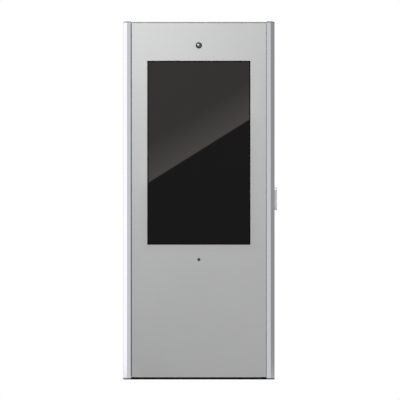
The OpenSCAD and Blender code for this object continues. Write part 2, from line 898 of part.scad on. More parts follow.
// A lid with visible front and rear edges, end tabs on the columns and flanges between the lips
module top_cover() {
  land = lip_edge - landing_gap;
  skirt = cover_under - cover_skirt;
  color("darkgray") difference() {
    union() {
      span(-column_in, column_in, panel_face, half_d, cover_under, cover_top);
      span(-column_in, column_in, panel_face, panel_face + sheet_t, cover_edge, cover_top);
      span(-column_in, column_in, half_d - sheet_t, half_d, cover_edge, cover_top);
      span(-land, land, lip_front, lip_front + sheet_t, skirt, cover_top);
      span(-land, land, lip_rear - sheet_t, lip_rear, skirt, cover_top);
      for (s = both)
        span(
          s * column_in, s * (column_in - sheet_t), -cover_tab_half, cover_tab_half,
          cover_tab_bottom, cover_top
        );
    }
    // Room for a camera that reaches up to the front flange
    span(
      -camera_half - camera_room, camera_half + camera_room, lip_front - cut, lip_front + sheet_t + cut,
      skirt - cut, camera_z + module_h / 2 + camera_room
    );
    for (site = cover_sites) for (s = both)
      translate([s * column_in, site[0], site[1]])
        rod_x(cabinet_screw_r + screw_clearance, -sheet_t - cut, sheet_t + cut);
  }
}

module cabinet_screw() {
  screw(cabinet_screw_r, cabinet_screw_l, cabinet_head_r, cabinet_head_h);
}

module cabinet_screws() {
  color("dimgray") for (m = [0, 1]) mirror([m, 0, 0]) {
    for (site = side_sites)
      translate([column_in - site[2], site[0], site[1]]) rotate([0, 90, 0]) cabinet_screw();
    for (s = both)
      translate([foot_hole_x, s * bracket_y, base_t + bracket_t]) rotate([180, 0, 0]) cabinet_screw();
  }
}

// The front panel: a folded tray with the screen opening, the two small holes and the weld studs
module front_panel() {
  color("silver") {
    difference() {
      folded_tray(panel_half, panel_bottom, panel_top, panel_face, lip_front, panel_t, panel_flange);
      plate_y(panel_face - cut, panel_inner + cut)
        translate([0, screen_z]) round_rect(screen_w, screen_h, screen_corner);
      translate([0, 0, camera_z]) rod_y(camera_barrel_r + fit_gap, panel_face - cut, panel_inner + cut);
      translate([0, 0, mic_z]) rod_y(mic_stem_r + fit_gap, panel_face - cut, panel_inner + cut);
      for (s = both) for (z = panel_screw_zs)
        translate([s * panel_screw_x, 0, z])
          rod_y(panel_screw_r + screw_clearance, lip_front - panel_t - cut, lip_front + cut);
    }
    for (site = concat(side_studs, end_studs)) translate([site[0], 0, site[1]]) {
      rod_y(stud_shoulder_r, panel_inner - panel_t / 2, glass_back);
      rod_y(stud_r, panel_inner, stud_end);
    }
  }
}

module panel_screw() {
  screw(panel_screw_r, panel_screw_l, panel_head_r, panel_head_h);
}

module panel_screws() {
  color("dimgray") for (s = both) {
    for (z = panel_screw_zs)
      translate([s * panel_screw_x, lip_front + lip_t, z]) rotate([90, 0, 0]) panel_screw();
    for (z = connection_screw_zs)
      translate([s * connection_screw_x, lip_rear - lip_t, z]) rotate([-90, 0, 0]) panel_screw();
  }
}

module display_gasket() {
  color([0.05, 0.05, 0.05]) plate_y(panel_inner, gasket_back) translate([0, screen_z]) difference() {
    round_rect(2 * glass_half, 2 * glass_half_h, screen_corner);
    round_rect(screen_w - 2 * border_w, screen_h - 2 * border_w, screen_corner);
  }
}

module touch_glass() {
  color([0.1, 0.1, 0.11, 0.8]) plate_y(gasket_back, glass_back)
    translate([0, screen_z]) round_rect(2 * glass_half, 2 * glass_half_h, screen_corner);
}

module lcd_sheet(y0, y1) {
  x = lcd_half - chassis_t - cell_clearance;
  z = lcd_half_h - chassis_t - cell_clearance;
  span(-x, x, y0, y1, screen_z - z, screen_z + z);
}

module lcd_cell() {
  color([0.06, 0.06, 0.07]) lcd_sheet(lcd_front, cell_back);
}

module light_guide() {
  color("whitesmoke") lcd_sheet(cell_back, guide_back);
}

module lcd_chassis() {
  color("lightgray") difference() {
    span(-lcd_half, lcd_half, lcd_front, lcd_back, screen_z - lcd_half_h, screen_z + lcd_half_h);
    x = lcd_half - chassis_t;
    z = lcd_half_h - chassis_t;
    span(-x, x, lcd_front - cut, guide_back, screen_z - z, screen_z + z);
  }
}

module driver_cover() {
  x = driver_w / 2;
  z = driver_h / 2;
  rows = floor((driver_h - 2 * driver_margin) / (2 * vent_pitch));
  color("silver") difference() {
    span(-x, x, lcd_back, driver_back, screen_z - z, screen_z + z);
    span(
      -x + driver_t, x - driver_t, lcd_back - cut, driver_back - driver_t,
      screen_z - z + driver_t, screen_z + z - driver_t
    );
    plate_y(driver_back - driver_t - cut, driver_back + cut)
      for (s = both) for (k = [0 : rows - 1])
        translate([s * driver_w / 4, screen_z + (k - (rows - 1) / 2) * 2 * vent_pitch])
          slot(driver_w / 3, vent_w);
  }
}

module display_frame() {
  color("darkgray") plate_y(glass_back, ring_back) translate([0, screen_z]) difference() {
    square(2 * [stud_x + stud_edge, stud_end_z + stud_edge], center = true);
    square(2 * [lcd_half + ring_gap, lcd_half_h + ring_gap], center = true);
    for (site = concat(side_studs, end_studs))
      translate([site[0], site[1] - screen_z]) circle(stud_hole_r);
  }
}

// A Z-shaped clamp: foot on the ring, riser beside the display, arm over its back
module display_clamp() {
  x0 = lcd_half + ring_gap;
  x1 = stud_x + stud_edge - clamp_inset;
  back = lcd_back + clamp_t;
  difference() {
    linear_extrude(clamp_l, center = true) polygon([
      [x1, ring_back], [x1, ring_back + clamp_t],
      [x0 + clamp_t, ring_back + clamp_t], [x0 + clamp_t, back],
      [lcd_half - clamp_reach, back], [lcd_half - clamp_reach, lcd_back], [x0, lcd_back], [x0, ring_back]
    ]);
    translate([stud_x, 0, 0]) rod_y(stud_hole_r, ring_back - cut, ring_back + clamp_t + cut);
  }
}

module display_clamps() {
  color("silver") for (k = [-1, 0, 1]) translate([0, 0, screen_z + k * stud_pitch]) {
    display_clamp();
    mirror([1, 0, 0]) display_clamp();
  }
}

module display_nut(site, y)
  translate([site[0], y, site[1]]) rotate([-90, 0, 0]) hex_nut(nut_r, stud_r + screw_clearance, nut_h);

module display_nuts() {
  color("dimgray") {
    for (site = side_studs) display_nut(site, ring_back + clamp_t);
    for (site = end_studs) display_nut(site, ring_back);
  }
}

// Turned ring with a flange on the panel, a step for the window and a threaded barrel behind
module camera_bezel() {
  color([0.16, 0.16, 0.17]) translate([0, 0, camera_z]) difference() {
    union() {
      rod_y(camera_r, camera_front, panel_face);
      rod_y(camera_barrel_r, camera_front, camera_end);
    }
    rod_y(camera_lens_r, camera_front - cut, camera_step_y);
    rod_y(camera_lens_r - camera_step, camera_front, camera_end + cut);
  }
}

module camera_lens() {
  color([0.1, 0.11, 0.13]) translate([0, 0, camera_z])
    rod_y(camera_lens_r - fit_gap, camera_step_y - camera_lens_t, camera_step_y);
}

module camera_module() {
  r = camera_lens_r - camera_step - 0.5;
  color([0.13, 0.13, 0.14]) translate([0, 0, camera_z]) {
    difference() {
      rod_y(r, camera_step_y + 1, camera_end + cut);
      rod_y(r * 0.6, camera_step_y, camera_step_y + 3);
    }
    span(-module_w / 2, module_w / 2, camera_end, camera_end + module_d, -module_h / 2, module_h / 2);
  }
}

// A stirrup under the ring nut that holds the camera's housing from both sides
module camera_bracket() {
  x = module_w / 2;
  color("silver") translate([0, 0, camera_z]) difference() {
    union() {
      span(
        -camera_half, camera_half, panel_inner, camera_bracket_back,
        -camera_barrel_r - 2, camera_barrel_r + 2
      );
      for (s = both)
        span(
          s * x, s * (x + bracket_sheet), panel_inner, camera_end + module_d,
          -module_h / 2, module_h / 2
        );
      span(
        -camera_half, camera_half, camera_end + module_d, camera_end + module_d + bracket_sheet,
        -module_h / 4, module_h / 4
      );
    }
    rod_y(camera_barrel_r + fit_gap, panel_inner - cut, camera_bracket_back + cut);
  }
}

module camera_nut() {
  color([0.2, 0.2, 0.2]) translate([0, 0, camera_z]) difference() {
    rod_y(camera_barrel_r + camera_nut_wall, camera_bracket_back, camera_bracket_back + camera_nut_t);
    rod_y(
      camera_barrel_r + screw_clearance,
      camera_bracket_back - cut, camera_bracket_back + camera_nut_t + cut
    );
  }
}

// A pressed button with a ring of sound holes and a hollow stem through the panel
module microphone_grille() {
  front = panel_face - mic_proud;
  color([0.26, 0.26, 0.27]) translate([0, 0, mic_z]) difference() {
    union() {
      rod_y(mic_r, front, panel_face);
      rod_y(mic_stem_r, panel_face - mic_proud / 2, panel_face + mic_stem_l);
    }
    rod_y(mic_stem_r - mic_wall, front + mic_plate_t, panel_face + mic_stem_l + cut);
    for (a = [0 : 60 : 300])
      rotate([0, a, 0]) translate([mic_stem_r / 2, 0, 0])
        rod_y(mic_hole_r, front - cut, front + mic_plate_t + cut);
    rod_y(mic_hole_r, front - cut, front + mic_plate_t + cut);
  }
}

module microphone_capsule() {
  start = panel_face - mic_proud + mic_plate_t + 1.5;
  board = panel_face + mic_stem_l;
  color([0.2, 0.3, 0.2]) translate([0, 0, mic_z]) {
    rod_y(mic_stem_r - mic_wall - fit_gap, start, start + mic_capsule_l);
    span(-mic_board / 2, mic_board / 2, board, board + mic_board_t, -mic_board / 2, mic_board / 2);
  }
}

module reader_outline(inset) {
  round_rect(reader_w - 2 * inset, reader_h - 2 * inset, reader_corner - inset);
}

// A rounded slab along +X with a filleted outer edge
module reader_slab() {
  e = reader_edge;
  r = reader_corner;
  y = reader_w / 2 - r;
  z = reader_h / 2 - r;
  plate_x(half_w, reader_face - e) reader_outline(0);
  plate_x(half_w, reader_face) reader_outline(e);
  translate([reader_face - e, 0, 0]) {
    for (sy = both) for (sz = both) translate([0, sy * y, sz * z]) rotate([0, 90, 0]) rotate_extrude()
      intersection() {
        translate([r - e, 0]) circle(e);
        square([r, e]);
      }
    for (sy = both) translate([0, sy * (reader_w / 2 - e), 0]) cylinder(r = e, h = 2 * z, center = true);
    for (sz = both) translate([0, 0, sz * (reader_h / 2 - e)]) rotate([90, 0, 0])
      cylinder(r = e, h = 2 * y, center = true);
  }
}

module reader_cover() {
  color("lightgray") translate([0, 0, reader_z]) difference() {
    reader_slab();
    plate_x(half_w - cut, reader_face - reader_wall) reader_outline(reader_wall);
    plate_x(half_w, reader_face + cut) round_rect(reader_window_w, reader_window_h, window_corner);
  }
}

module reader_window() {
  back = reader_face - reader_wall;
  color([0.12, 0.12, 0.14]) translate([0, 0, reader_z]) {
    plate_x(back - window_t / 2, reader_face - 0.3)
      round_rect(reader_window_w - 2 * fit_gap, reader_window_h - 2 * fit_gap, window_corner - fit_gap);
    plate_x(back - window_t, back)
      round_rect(
        reader_window_w + 2 * window_step, reader_window_h + 2 * window_step,
        window_corner + window_step
      );
  }
}

module reader_backplate() {
  color([0.2, 0.2, 0.2]) difference() {
    translate([0, 0, reader_z]) plate_x(half_w, half_w + reader_plate_t)
      reader_outline(reader_wall + fit_gap);
    for (site = reader_sites)
      translate([0, site[0], site[1]])
        rod_x(small_screw_r + screw_clearance, half_w - cut, half_w + reader_plate_t + cut);
    translate([0, 0, reader_cable_z]) rod_x(reader_cable_r, half_w - cut, half_w + reader_plate_t + cut);
  }
}

module small_screw() {
  screw(small_screw_r, small_screw_l, small_head_r, small_head_h);
}

module small_screws() {
  color("silver") {
    for (site = reader_sites)
      translate([half_w + reader_plate_t, site[0], site[1]]) rotate([0, -90, 0]) small_screw();
    for (s = both) {
      translate([inlet_x + s * inlet_screw_x, half_d + inlet_flange_t, connector_z])
        rotate([90, 0, 0]) small_screw();
      translate([data_x, half_d + data_flange_t, connector_z + s * data_screw_z])
        rotate([90, 0, 0]) small_screw();
    }
  }
}

// The fixed panel below the door, with its connector cut-outs and the sill that the door closes on
module connection_panel() {
  land = lip_edge - landing_gap;
  hole_r = small_screw_r + screw_clearance;
  color("silver") difference() {
    union() {
      folded_tray(panel_half, panel_bottom, connection_top, half_d, lip_rear, door_t, panel_flange);
      span(
        -land, land, lip_rear - door_t, lip_rear + door_t / 2,
        connection_top - panel_flange, connection_top
      );
      span(
        -land, land, lip_rear - door_t, lip_rear,
        connection_top - panel_flange, connection_top + sill_rise
      );
    }
    plate_y(door_inner - cut, half_d + cut) translate([0, connector_z]) {
      translate([inlet_x, 0]) square([inlet_w + 2 * fit_gap, inlet_h + 2 * fit_gap], center = true);
      for (s = both) translate([inlet_x + s * inlet_screw_x, 0]) circle(hole_r);
      translate([switch_x, 0])
        square(
          [switch_w + 2 * switch_wall + 2 * fit_gap, switch_l + 2 * switch_wall + 2 * fit_gap],
          center = true
        );
      translate([data_x, 0])
        square([data_body[0] + 2 * fit_gap, data_body[1] + 2 * fit_gap], center = true);
      for (s = both) translate([data_x, s * data_screw_z]) circle(hole_r);
    }
    for (s = both) for (z = connection_screw_zs)
      translate([s * connection_screw_x, 0, z])
        rod_y(panel_screw_r + screw_clearance, lip_rear - cut, lip_rear + door_t + cut);
  }
}

// A three-pin mains inlet: flange, body, and pins in a socket with two clipped corners
module power_inlet() {
  w = inlet_w - 2 * inlet_wall;
  h = inlet_h - 2 * inlet_wall;
  clip = h / 3;
  front = half_d + inlet_flange_t;
  floor_y = half_d - inlet_d + inlet_wall;
  color([0.12, 0.12, 0.12]) translate([inlet_x, 0, connector_z]) {
    difference() {
      union() {
        plate_y(half_d, front) round_rect(inlet_flange_w, inlet_flange_h, 4);
        span(-inlet_w / 2, inlet_w / 2, half_d - inlet_d, half_d + cut, -inlet_h / 2, inlet_h / 2);
      }
      plate_y(floor_y, front + cut) polygon([
        [-w / 2, -h / 2], [w / 2, -h / 2], [w / 2, h / 2 - clip],
        [w / 2 - clip, h / 2], [-w / 2 + clip, h / 2], [-w / 2, h / 2 - clip]
      ]);
      for (s = both) translate([s * inlet_screw_x, 0, 0])
        rod_y(small_screw_r + screw_clearance, half_d - cut, front + cut);
    }
    plate_y(floor_y - inlet_wall / 2, floor_y + inlet_pin_l) {
      for (s = both) translate([s * 7, -1]) square(inlet_pin, center = true);
      translate([0, 3]) square(inlet_pin, center = true);
    }
  }
}

// The rocker's snap-in frame with its two pivot holes
module switch_frame() {
  w = switch_w + 2 * switch_wall;
  l = switch_l + 2 * switch_wall;
  color([0.1, 0.1, 0.1]) translate([switch_x, 0, connector_z]) difference() {
    union() {
      plate_y(half_d, half_d + switch_flange_t) round_rect(w + 2 * switch_flange, l + 2 * switch_flange, 2);
      span(-w / 2, w / 2, half_d - switch_d, half_d + cut, -l / 2, l / 2);
    }
    span(
      -switch_w / 2, switch_w / 2, half_d - switch_d + switch_wall, half_d + switch_flange_t + cut,
      -switch_l / 2, switch_l / 2
    );
    translate([0, pivot_y, 0]) rod_x(pivot_r + pivot_clearance, -w / 2 - cut, w / 2 + cut);
  }
}

// The rocker rests on its lower side and tilts over about its two pivot stubs
module rocker_switch() {
  stub = switch_w / 2 + switch_wall / 2;
  color([0.08, 0.08, 0.08]) translate([switch_x, pivot_y, connector_z]) {
    rotate([rocker_tilt, 0, 0]) plate_x(-rocker_w / 2, rocker_w / 2) polygon([
      [rocker_rise, rocker_l / 2], [rocker_dip, 0], [rocker_rise, -rocker_l / 2],
      [0, -rocker_l / 2], [-rocker_depth, -rocker_foot / 2],
      [-rocker_depth, rocker_foot / 2], [0, rocker_l / 2]
    ]);
    rod_x(pivot_r, -stub, stub);
  }
}

module data_socket() {
  front = half_d + data_flange_t;
  color([0.75, 0.75, 0.77]) translate([data_x, 0, connector_z]) difference() {
    union() {
      plate_y(half_d, front) round_rect(data_flange[0], data_flange[1], 3);
      span(
        -data_body[0] / 2, data_body[0] / 2, half_d - data_body_d, half_d + cut,
        -data_body[1] / 2, data_body[1] / 2
      );
    }
    plate_y(front - data_hole_d, front + cut) {
      square(data_hole, center = true);
      translate([0, -data_hole[1] / 2]) square([data_hole[0] / 2, data_hole[1] / 3], center = true);
    }
    for (s = both) translate([0, 0, s * data_screw_z])
      rod_y(small_screw_r + screw_clearance, half_d - cut, front + cut);
  }
}

module cable_grommet() {
  color([0.08, 0.08, 0.08]) translate([0, cable_y, 0]) rotate_extrude() {
    translate([cable_r, grommet_lift]) square([grommet_wall, base_t + grommet_collar - grommet_lift]);
    translate([cable_r, base_t]) square([grommet_wall + grommet_lip, grommet_collar]);
  }
}

// A small computer with cooling slots on top, a row of ports and the button's hole in its rear wall
module computer_case() {
  x0 = computer_x;
  x1 = computer_x + computer_w;
  top = shelf_floor + computer_h;
  slots = floor((computer_w - 2 * case_slot_margin) / case_slot_pitch);
  stop = computer_back - computer_t - fit_gap - button_collar_t - button_travel - button_clearance;
  color([0.2, 0.21, 0.22]) span(
    button_x - button_r, button_x + button_r, stop - button_stop_t, stop,
    shelf_floor + computer_t / 2, button_z + button_r
  );
  color([0.2, 0.21, 0.22]) difference() {
    span(x0, x1, -computer_back, computer_back, shelf_floor, top);
    span(
      x0 + computer_t, x1 - computer_t, -computer_back + computer_t, computer_back - computer_t,
      shelf_floor + computer_t, top - computer_t
    );
    for (k = [0 : slots - 1])
      translate([(x0 + x1) / 2 + (k - (slots - 1) / 2) * case_slot_pitch, 0, top - computer_t - cut])
        linear_extrude(computer_t + 2 * cut) rotate(90) slot(case_slot[1], case_slot[0]);
    for (k = [0 : port_count - 1])
      translate([button_x + port_pitch * (k + 1), 0, button_z])
        plate_y(computer_back - computer_t - cut, computer_back + cut) square(port_size, center = true);
    translate([button_x, 0, button_z])
      rod_y(button_r + button_clearance, computer_back - computer_t - cut, computer_back + cut);
  }
}

module computer_button() {
  wall_in = computer_back - computer_t;
  color("silver") translate([button_x, 0, button_z]) {
    rod_y(button_r, wall_in - fit_gap - button_collar_t, computer_back + button_proud);
    rod_y(button_r + button_collar, wall_in - fit_gap - button_collar_t, wall_in - fit_gap);
  }
}

module power_supply() {
  x1 = supply_x + supply_w;
  y = supply_d / 2;
  top = shelf_floor + supply_h;
  slots = floor((supply_w - 2 * case_slot_margin) / case_slot_pitch);
  color("silver") difference() {
    span(supply_x, x1, -y, y, shelf_floor, top);
    span(
      supply_x + computer_t, x1 - computer_t, -y + computer_t, y - computer_t,
      shelf_floor + computer_t, top - computer_t
    );
    for (k = [0 : slots - 1])
      translate([(supply_x + x1) / 2 + (k - (slots - 1) / 2) * case_slot_pitch, 0, top - computer_t - cut])
        linear_extrude(computer_t + 2 * cut) rotate(90) slot(supply_d - 2 * supply_slot_margin, case_slot[0]);
  }
}

// Rows of vent slots, drawn in X and Z round the origin
module vent_field(rows, columns) {
  for (c = [0 : columns - 1]) for (k = [0 : rows - 1])
    translate([(c - (columns - 1) / 2) * (vent_l + vent_pitch), (k - (rows - 1) / 2) * vent_pitch])
      slot(vent_l, vent_w);
}

fan_rows = floor((2 * fan_bore_r - 10) / vent_pitch);
filter_rows = floor((filter_h - 2 * filter_boss - 2 * filter_wall) / vent_pitch);
filter_columns = floor((filter_w - 2 * filter_wall) / (vent_l + vent_pitch));
fan_corners = [for (x = both) for (z = both) [x * fan_hole_pitch / 2, z * fan_hole_pitch / 2]];
fan_places = [[-fan_x, fan_z], [fan_x, fan_z]];
filter_corners = [for (x = both) for (z = both) [x * filter_screw_x, z * filter_screw_z]];

// The service door: a folded tray with vents for the fans and the filter, lock and screw holes
module door_panel() {
  hole_r = door_screw_r + screw_clearance;
  color("silver") difference() {
    folded_tray(panel_half, door_bottom, door_top, half_d, door_back, door_t, door_flange);
    plate_y(door_inner - cut, half_d + cut) {
      for (place = fan_places) translate(place) {
        vent_field(fan_rows, 1);
        for (corner = fan_corners) translate(corner) circle(hole_r);
      }
      translate([0, filter_z]) {
        vent_field(filter_rows, filter_columns);
        for (corner = filter_corners) translate(corner) circle(hole_r);
      }
      for (z = lock_zs) translate([lock_x, z]) circle(lock_r + lock_clearance);
      for (z = hinge_zs) for (s = both)
        translate([door_screw_x, z + s * hinge_screw_pitch / 2]) circle(hinge_screw_r + screw_clearance);
    }
  }
}

module door_seal() {
  x = panel_half - seal_inset;
  z0 = door_bottom + seal_inset;
  z1 = door_top - seal_inset;
  color([0.1, 0.1, 0.1]) difference() {
    span(-x, x, door_back - seal_t, door_back, z0, z1);
    span(-x + seal_w, x - seal_w, door_back - seal_t - cut, door_back + cut, z0 + seal_w, z1 - seal_w);
  }
}

// One hinge leaf: plate, tabs and knuckles on every second place along the pin
module hinge_leaf(first, x_end, screw_x) {
  side = sign(x_end - axis_x);
  root_x = axis_x + side * leaf_clear;
  start = -hinge_l / 2;
  difference() {
    union() {
      span(root_x, x_end, half_d, half_d + leaf_t, start, -start);
      for (k = [first : 2 : knuckle_count - 1]) {
        z0 = start + k * knuckle_l + (k == 0 ? 0 : knuckle_gap / 2);
        z1 = start + (k + 1) * knuckle_l - (k == knuckle_count - 1 ? 0 : knuckle_gap / 2);
        span(axis_x, root_x + side * cut, half_d, half_d + leaf_t, z0, z1);
        translate([axis_x, axis_y, z0]) cylinder(r = knuckle_r, h = z1 - z0);
      }
    }
    translate([axis_x, axis_y, start - cut]) cylinder(r = pin_r + pin_clearance, h = hinge_l + 2 * cut);
    for (s = both) translate([screw_x, half_d + leaf_t, s * hinge_screw_pitch / 2]) rotate([90, 0, 0]) {
      translate([0, 0, -cut]) cylinder(r = hinge_screw_r + screw_clearance, h = leaf_t + 2 * cut);
      cylinder(r1 = hinge_head_r + screw_clearance, r2 = hinge_screw_r + screw_clearance, h = hinge_screw_r);
    }
  }
}

module hinge_frame_leaves() {
  color("silver") for (z = hinge_zs) translate([0, 0, z]) hinge_leaf(0, frame_leaf_end, frame_screw_x);
}

module hinge_door_leaves() {
  color("silver") for (z = hinge_zs) translate([0, 0, z]) hinge_leaf(1, door_leaf_end, door_screw_x);
}

module hinge_pins() {
  color("dimgray") for (z = hinge_zs) translate([axis_x, axis_y, z - hinge_l / 2]) {
    cylinder(r = pin_r, h = hinge_l + pin_head_h / 2);
    translate([0, 0, hinge_l]) cylinder(r = knuckle_r, h = pin_head_h);
  }
}

module hinge_screw_set(x) {
  for (z = hinge_zs) for (s = both)
    translate([x, half_d + leaf_t, z + s * hinge_screw_pitch / 2]) rotate([90, 0, 0]) {
      cylinder(r = hinge_screw_r, h = hinge_screw_l);
      cylinder(r1 = hinge_head_r, r2 = hinge_screw_r, h = hinge_screw_r);
    }
}

module hinge_frame_screws() {
  color("dimgray") hinge_screw_set(frame_screw_x);
}

module hinge_door_screws() {
  color("dimgray") hinge_screw_set(door_screw_x);
}

module lock_bodies() {
  color("silver") for (z = lock_zs) translate([lock_x, 0, z]) {
    difference() {
      union() {
        rod_y(lock_r, lock_end, half_d + cut);
        rod_y(lock_flange_r, half_d, half_d + lock_flange_t);
      }
      rod_y(barrel_r + lock_clearance, lock_end - cut, half_d + lock_flange_t + cut);
    }
    translate([0, door_inner, 0]) rotate([90, 0, 0])
      hex_nut((lock_r + lock_nut_wall) * hex_corner, lock_r + lock_clearance, lock_nut_t);
  }
}

// Key barrel, cam and nut. At rest the cam stands upright, clear of the lip
module lock_barrel(z) {
  key_w = 1.5;
  key_h = barrel_r;
  key_d = 4;
  hole = barrel_square + 2 * lock_clearance;
  color("darkgray") translate([lock_x, 0, z]) {
    difference() {
      union() {
        rod_y(barrel_r, cam_front, half_d + lock_flange_t);
        plate_y(cam_back, cam_front + cut) square(barrel_square, center = true);
        rod_y(lock_thread_r, cam_back - lock_nut_t - 1, cam_back + cut);
      }
      span(
        -key_w / 2, key_w / 2, half_d + lock_flange_t - key_d, half_d + lock_flange_t + cut,
        -key_h / 2, key_h / 2
      );
    }
    plate_y(cam_back + lock_clearance, cam_front - lock_clearance) difference() {
      union() {
        circle(cam_w / 2);
        translate([-cam_w / 2, 0]) square([cam_w, cam_reach - cam_w / 4]);
        translate([-cam_w / 4, 0]) square([cam_w / 2, cam_reach]);
        for (s = both) translate([s * cam_w / 4, cam_reach - cam_w / 4]) circle(cam_w / 4);
      }
      square(hole, center = true);
    }
    translate([0, cam_back - lock_clearance, 0]) rotate([90, 0, 0])
      hex_nut(lock_thread_r * 1.8 * hex_corner, lock_thread_r + screw_clearance, lock_nut_t);
  }
}

module lock_lower_barrel() {
  lock_barrel(lock_zs[0]);
}

module lock_upper_barrel() {
  lock_barrel(lock_zs[1]);
}

// Places a fan part: drawn with its axis along +Z, from the door inwards
module on_door(place) {
  translate([place[0], door_inner, place[1]]) rotate([90, 0, 0]) children();
}

module fan_frame() {
  strut_l = (fan_bore_r + fan_side / 2) / 2;
  difference() {
    union() {
      difference() {
        linear_extrude(fan_d) round_rect(fan_side, fan_side, fan_corner);
        translate([0, 0, -cut]) cylinder(r = fan_bore_r, h = fan_d + 2 * cut);
      }
      cylinder(r = fan_hub_r, h = fan_plate_t);
      cylinder(r = fan_boss_r, h = fan_boss_l);
      for (a = [45 : 90 : 315])
        rotate(a) translate([0, -fan_strut_w / 2, 0]) cube([strut_l, fan_strut_w, fan_plate_t]);
    }
    translate([0, 0, -cut]) cylinder(r = shaft_r + pin_clearance, h = fan_boss_l + 2 * cut);
    for (corner = fan_corners)
      translate([corner[0], corner[1], -cut])
        cylinder(r = door_screw_r + screw_clearance, h = fan_d + 2 * cut);
  }
}

module fan_frames() {
  color([0.1, 0.1, 0.1]) for (place = fan_places) on_door(place) fan_frame();
}

// A cup-shaped hub on a shaft, with pitched blades trimmed by the air passage
module fan_rotor() {
  depth = rotor_end - rotor_start;
  difference() {
    translate([0, 0, rotor_start]) cylinder(r = fan_hub_r, h = depth);
    translate([0, 0, rotor_start - cut]) cylinder(r = fan_hub_r - rotor_wall, h = depth - rotor_wall + cut);
  }
  translate([0, 0, fan_plate_t / 2]) cylinder(r = shaft_r, h = rotor_end - fan_plate_t / 2);
  for (k = [0 : blade_count - 1]) rotate(k * 360 / blade_count) intersection() {
    translate([0, 0, (rotor_start + rotor_end) / 2]) rotate([blade_pitch, 0, 0])
      translate([fan_hub_r - rotor_wall / 2, -blade_chord / 2, -blade_t / 2])
        cube([blade_r, blade_chord, blade_t]);
    translate([0, 0, rotor_start]) cylinder(r = blade_r, h = depth);
  }
}

module fan_left_rotor() {
  color([0.15, 0.15, 0.15]) on_door(fan_places[0]) fan_rotor();
}

module fan_right_rotor() {
  color([0.15, 0.15, 0.15]) on_door(fan_places[1]) fan_rotor();
}

// A punched finger guard: rings, four arms and four eyelets
module fan_guard() {
  translate([0, 0, fan_d]) linear_extrude(guard_t) difference() {
    union() {
      for (r = guard_rings) difference() {
        circle(r + guard_ring_w / 2);
        circle(r - guard_ring_w / 2);
      }
      circle(fan_hub_r / 2);
      for (a = [45 : 90 : 315])
        rotate(a) translate([0, -guard_ring_w / 2]) square([fan_hole_pitch / sqrt(2), guard_ring_w]);
      for (corner = fan_corners) translate(corner) circle(2 * door_screw_r);
    }
    for (corner = fan_corners) translate(corner) circle(door_screw_r + screw_clearance);
  }
}

module fan_guards() {
  color("dimgray") for (place = fan_places) on_door(place) fan_guard();
}

// A shallow frame with corner bosses, and bars behind the mat
module filter_frame() {
  color([0.12, 0.12, 0.12]) on_door([0, filter_z]) difference() {
    union() {
      linear_extrude(filter_d) difference() {
        square([filter_w, filter_h], center = true);
        square([filter_w - 2 * filter_wall, filter_h - 2 * filter_wall], center = true);
      }
      for (corner = filter_corners) translate(corner)
        linear_extrude(filter_d) square(filter_boss + filter_wall / 2, center = true);
      translate([0, 0, filter_d - filter_bar_t]) linear_extrude(filter_bar_t) {
        for (k = [-1, 0, 1]) {
          translate([k * filter_w / 4, 0]) square([filter_wall, filter_h - filter_wall], center = true);
          translate([0, k * filter_h / 4]) square([filter_w - filter_wall, filter_wall], center = true);
        }
      }
    }
    for (corner = filter_corners)
      translate([corner[0], corner[1], -cut])
        cylinder(r = door_screw_r + screw_clearance, h = filter_d + 2 * cut);
  }
}

module filter_mat() {
  notch = filter_boss + filter_wall / 2 + 2 * fit_gap;
  color([0.3, 0.3, 0.3]) on_door([0, filter_z]) linear_extrude(mat_t) difference() {
    square(
      [filter_w - 2 * filter_wall - 2 * fit_gap, filter_h - 2 * filter_wall - 2 * fit_gap],
      center = true
    );
    for (corner = filter_corners) translate(corner) square(notch, center = true);
  }
}

module door_screw() {
  screw(door_screw_r, door_screw_l, door_head_r, door_head_h);
}

module door_screws() {
  color("silver") {
    for (place = fan_places) on_door(place) for (corner = fan_corners) translate(corner) {
      translate([0, 0, -door_t]) door_screw();
      translate([0, 0, fan_d + guard_t]) rotate([180, 0, 0]) door_screw();
    }
    on_door([0, filter_z]) for (corner = filter_corners) translate(corner)
      translate([0, 0, -door_t]) door_screw();
  }
}

column_left();
column_right();
column_caps();
column_feet();
base_plate();
base_seals();
base_brackets();
cross_rails();
equipment_shelf();
top_cover();
cabinet_screws();
front_panel();
panel_screws();
display_gasket();
touch_glass();
lcd_cell();
light_guide();
lcd_chassis();
driver_cover();
display_frame();
display_clamps();
display_nuts();
camera_bezel();
camera_lens();
camera_module();
camera_bracket();
camera_nut();
microphone_grille();
microphone_capsule();
reader_backplate();
reader_cover();
reader_window();
small_screws();
connection_panel();
power_inlet();
switch_frame();
rocker_switch();
data_socket();
cable_grommet();
computer_case();
computer_button();
power_supply();
door_panel();
door_seal();
hinge_frame_leaves();
hinge_door_leaves();
hinge_pins();
hinge_frame_screws();
hinge_door_screws();
lock_bodies();
lock_upper_barrel();
lock_lower_barrel();
fan_frames();
fan_left_rotor();
fan_right_rotor();
fan_guards();
filter_frame();
filter_mat();
door_screws();
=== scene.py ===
import json
import math

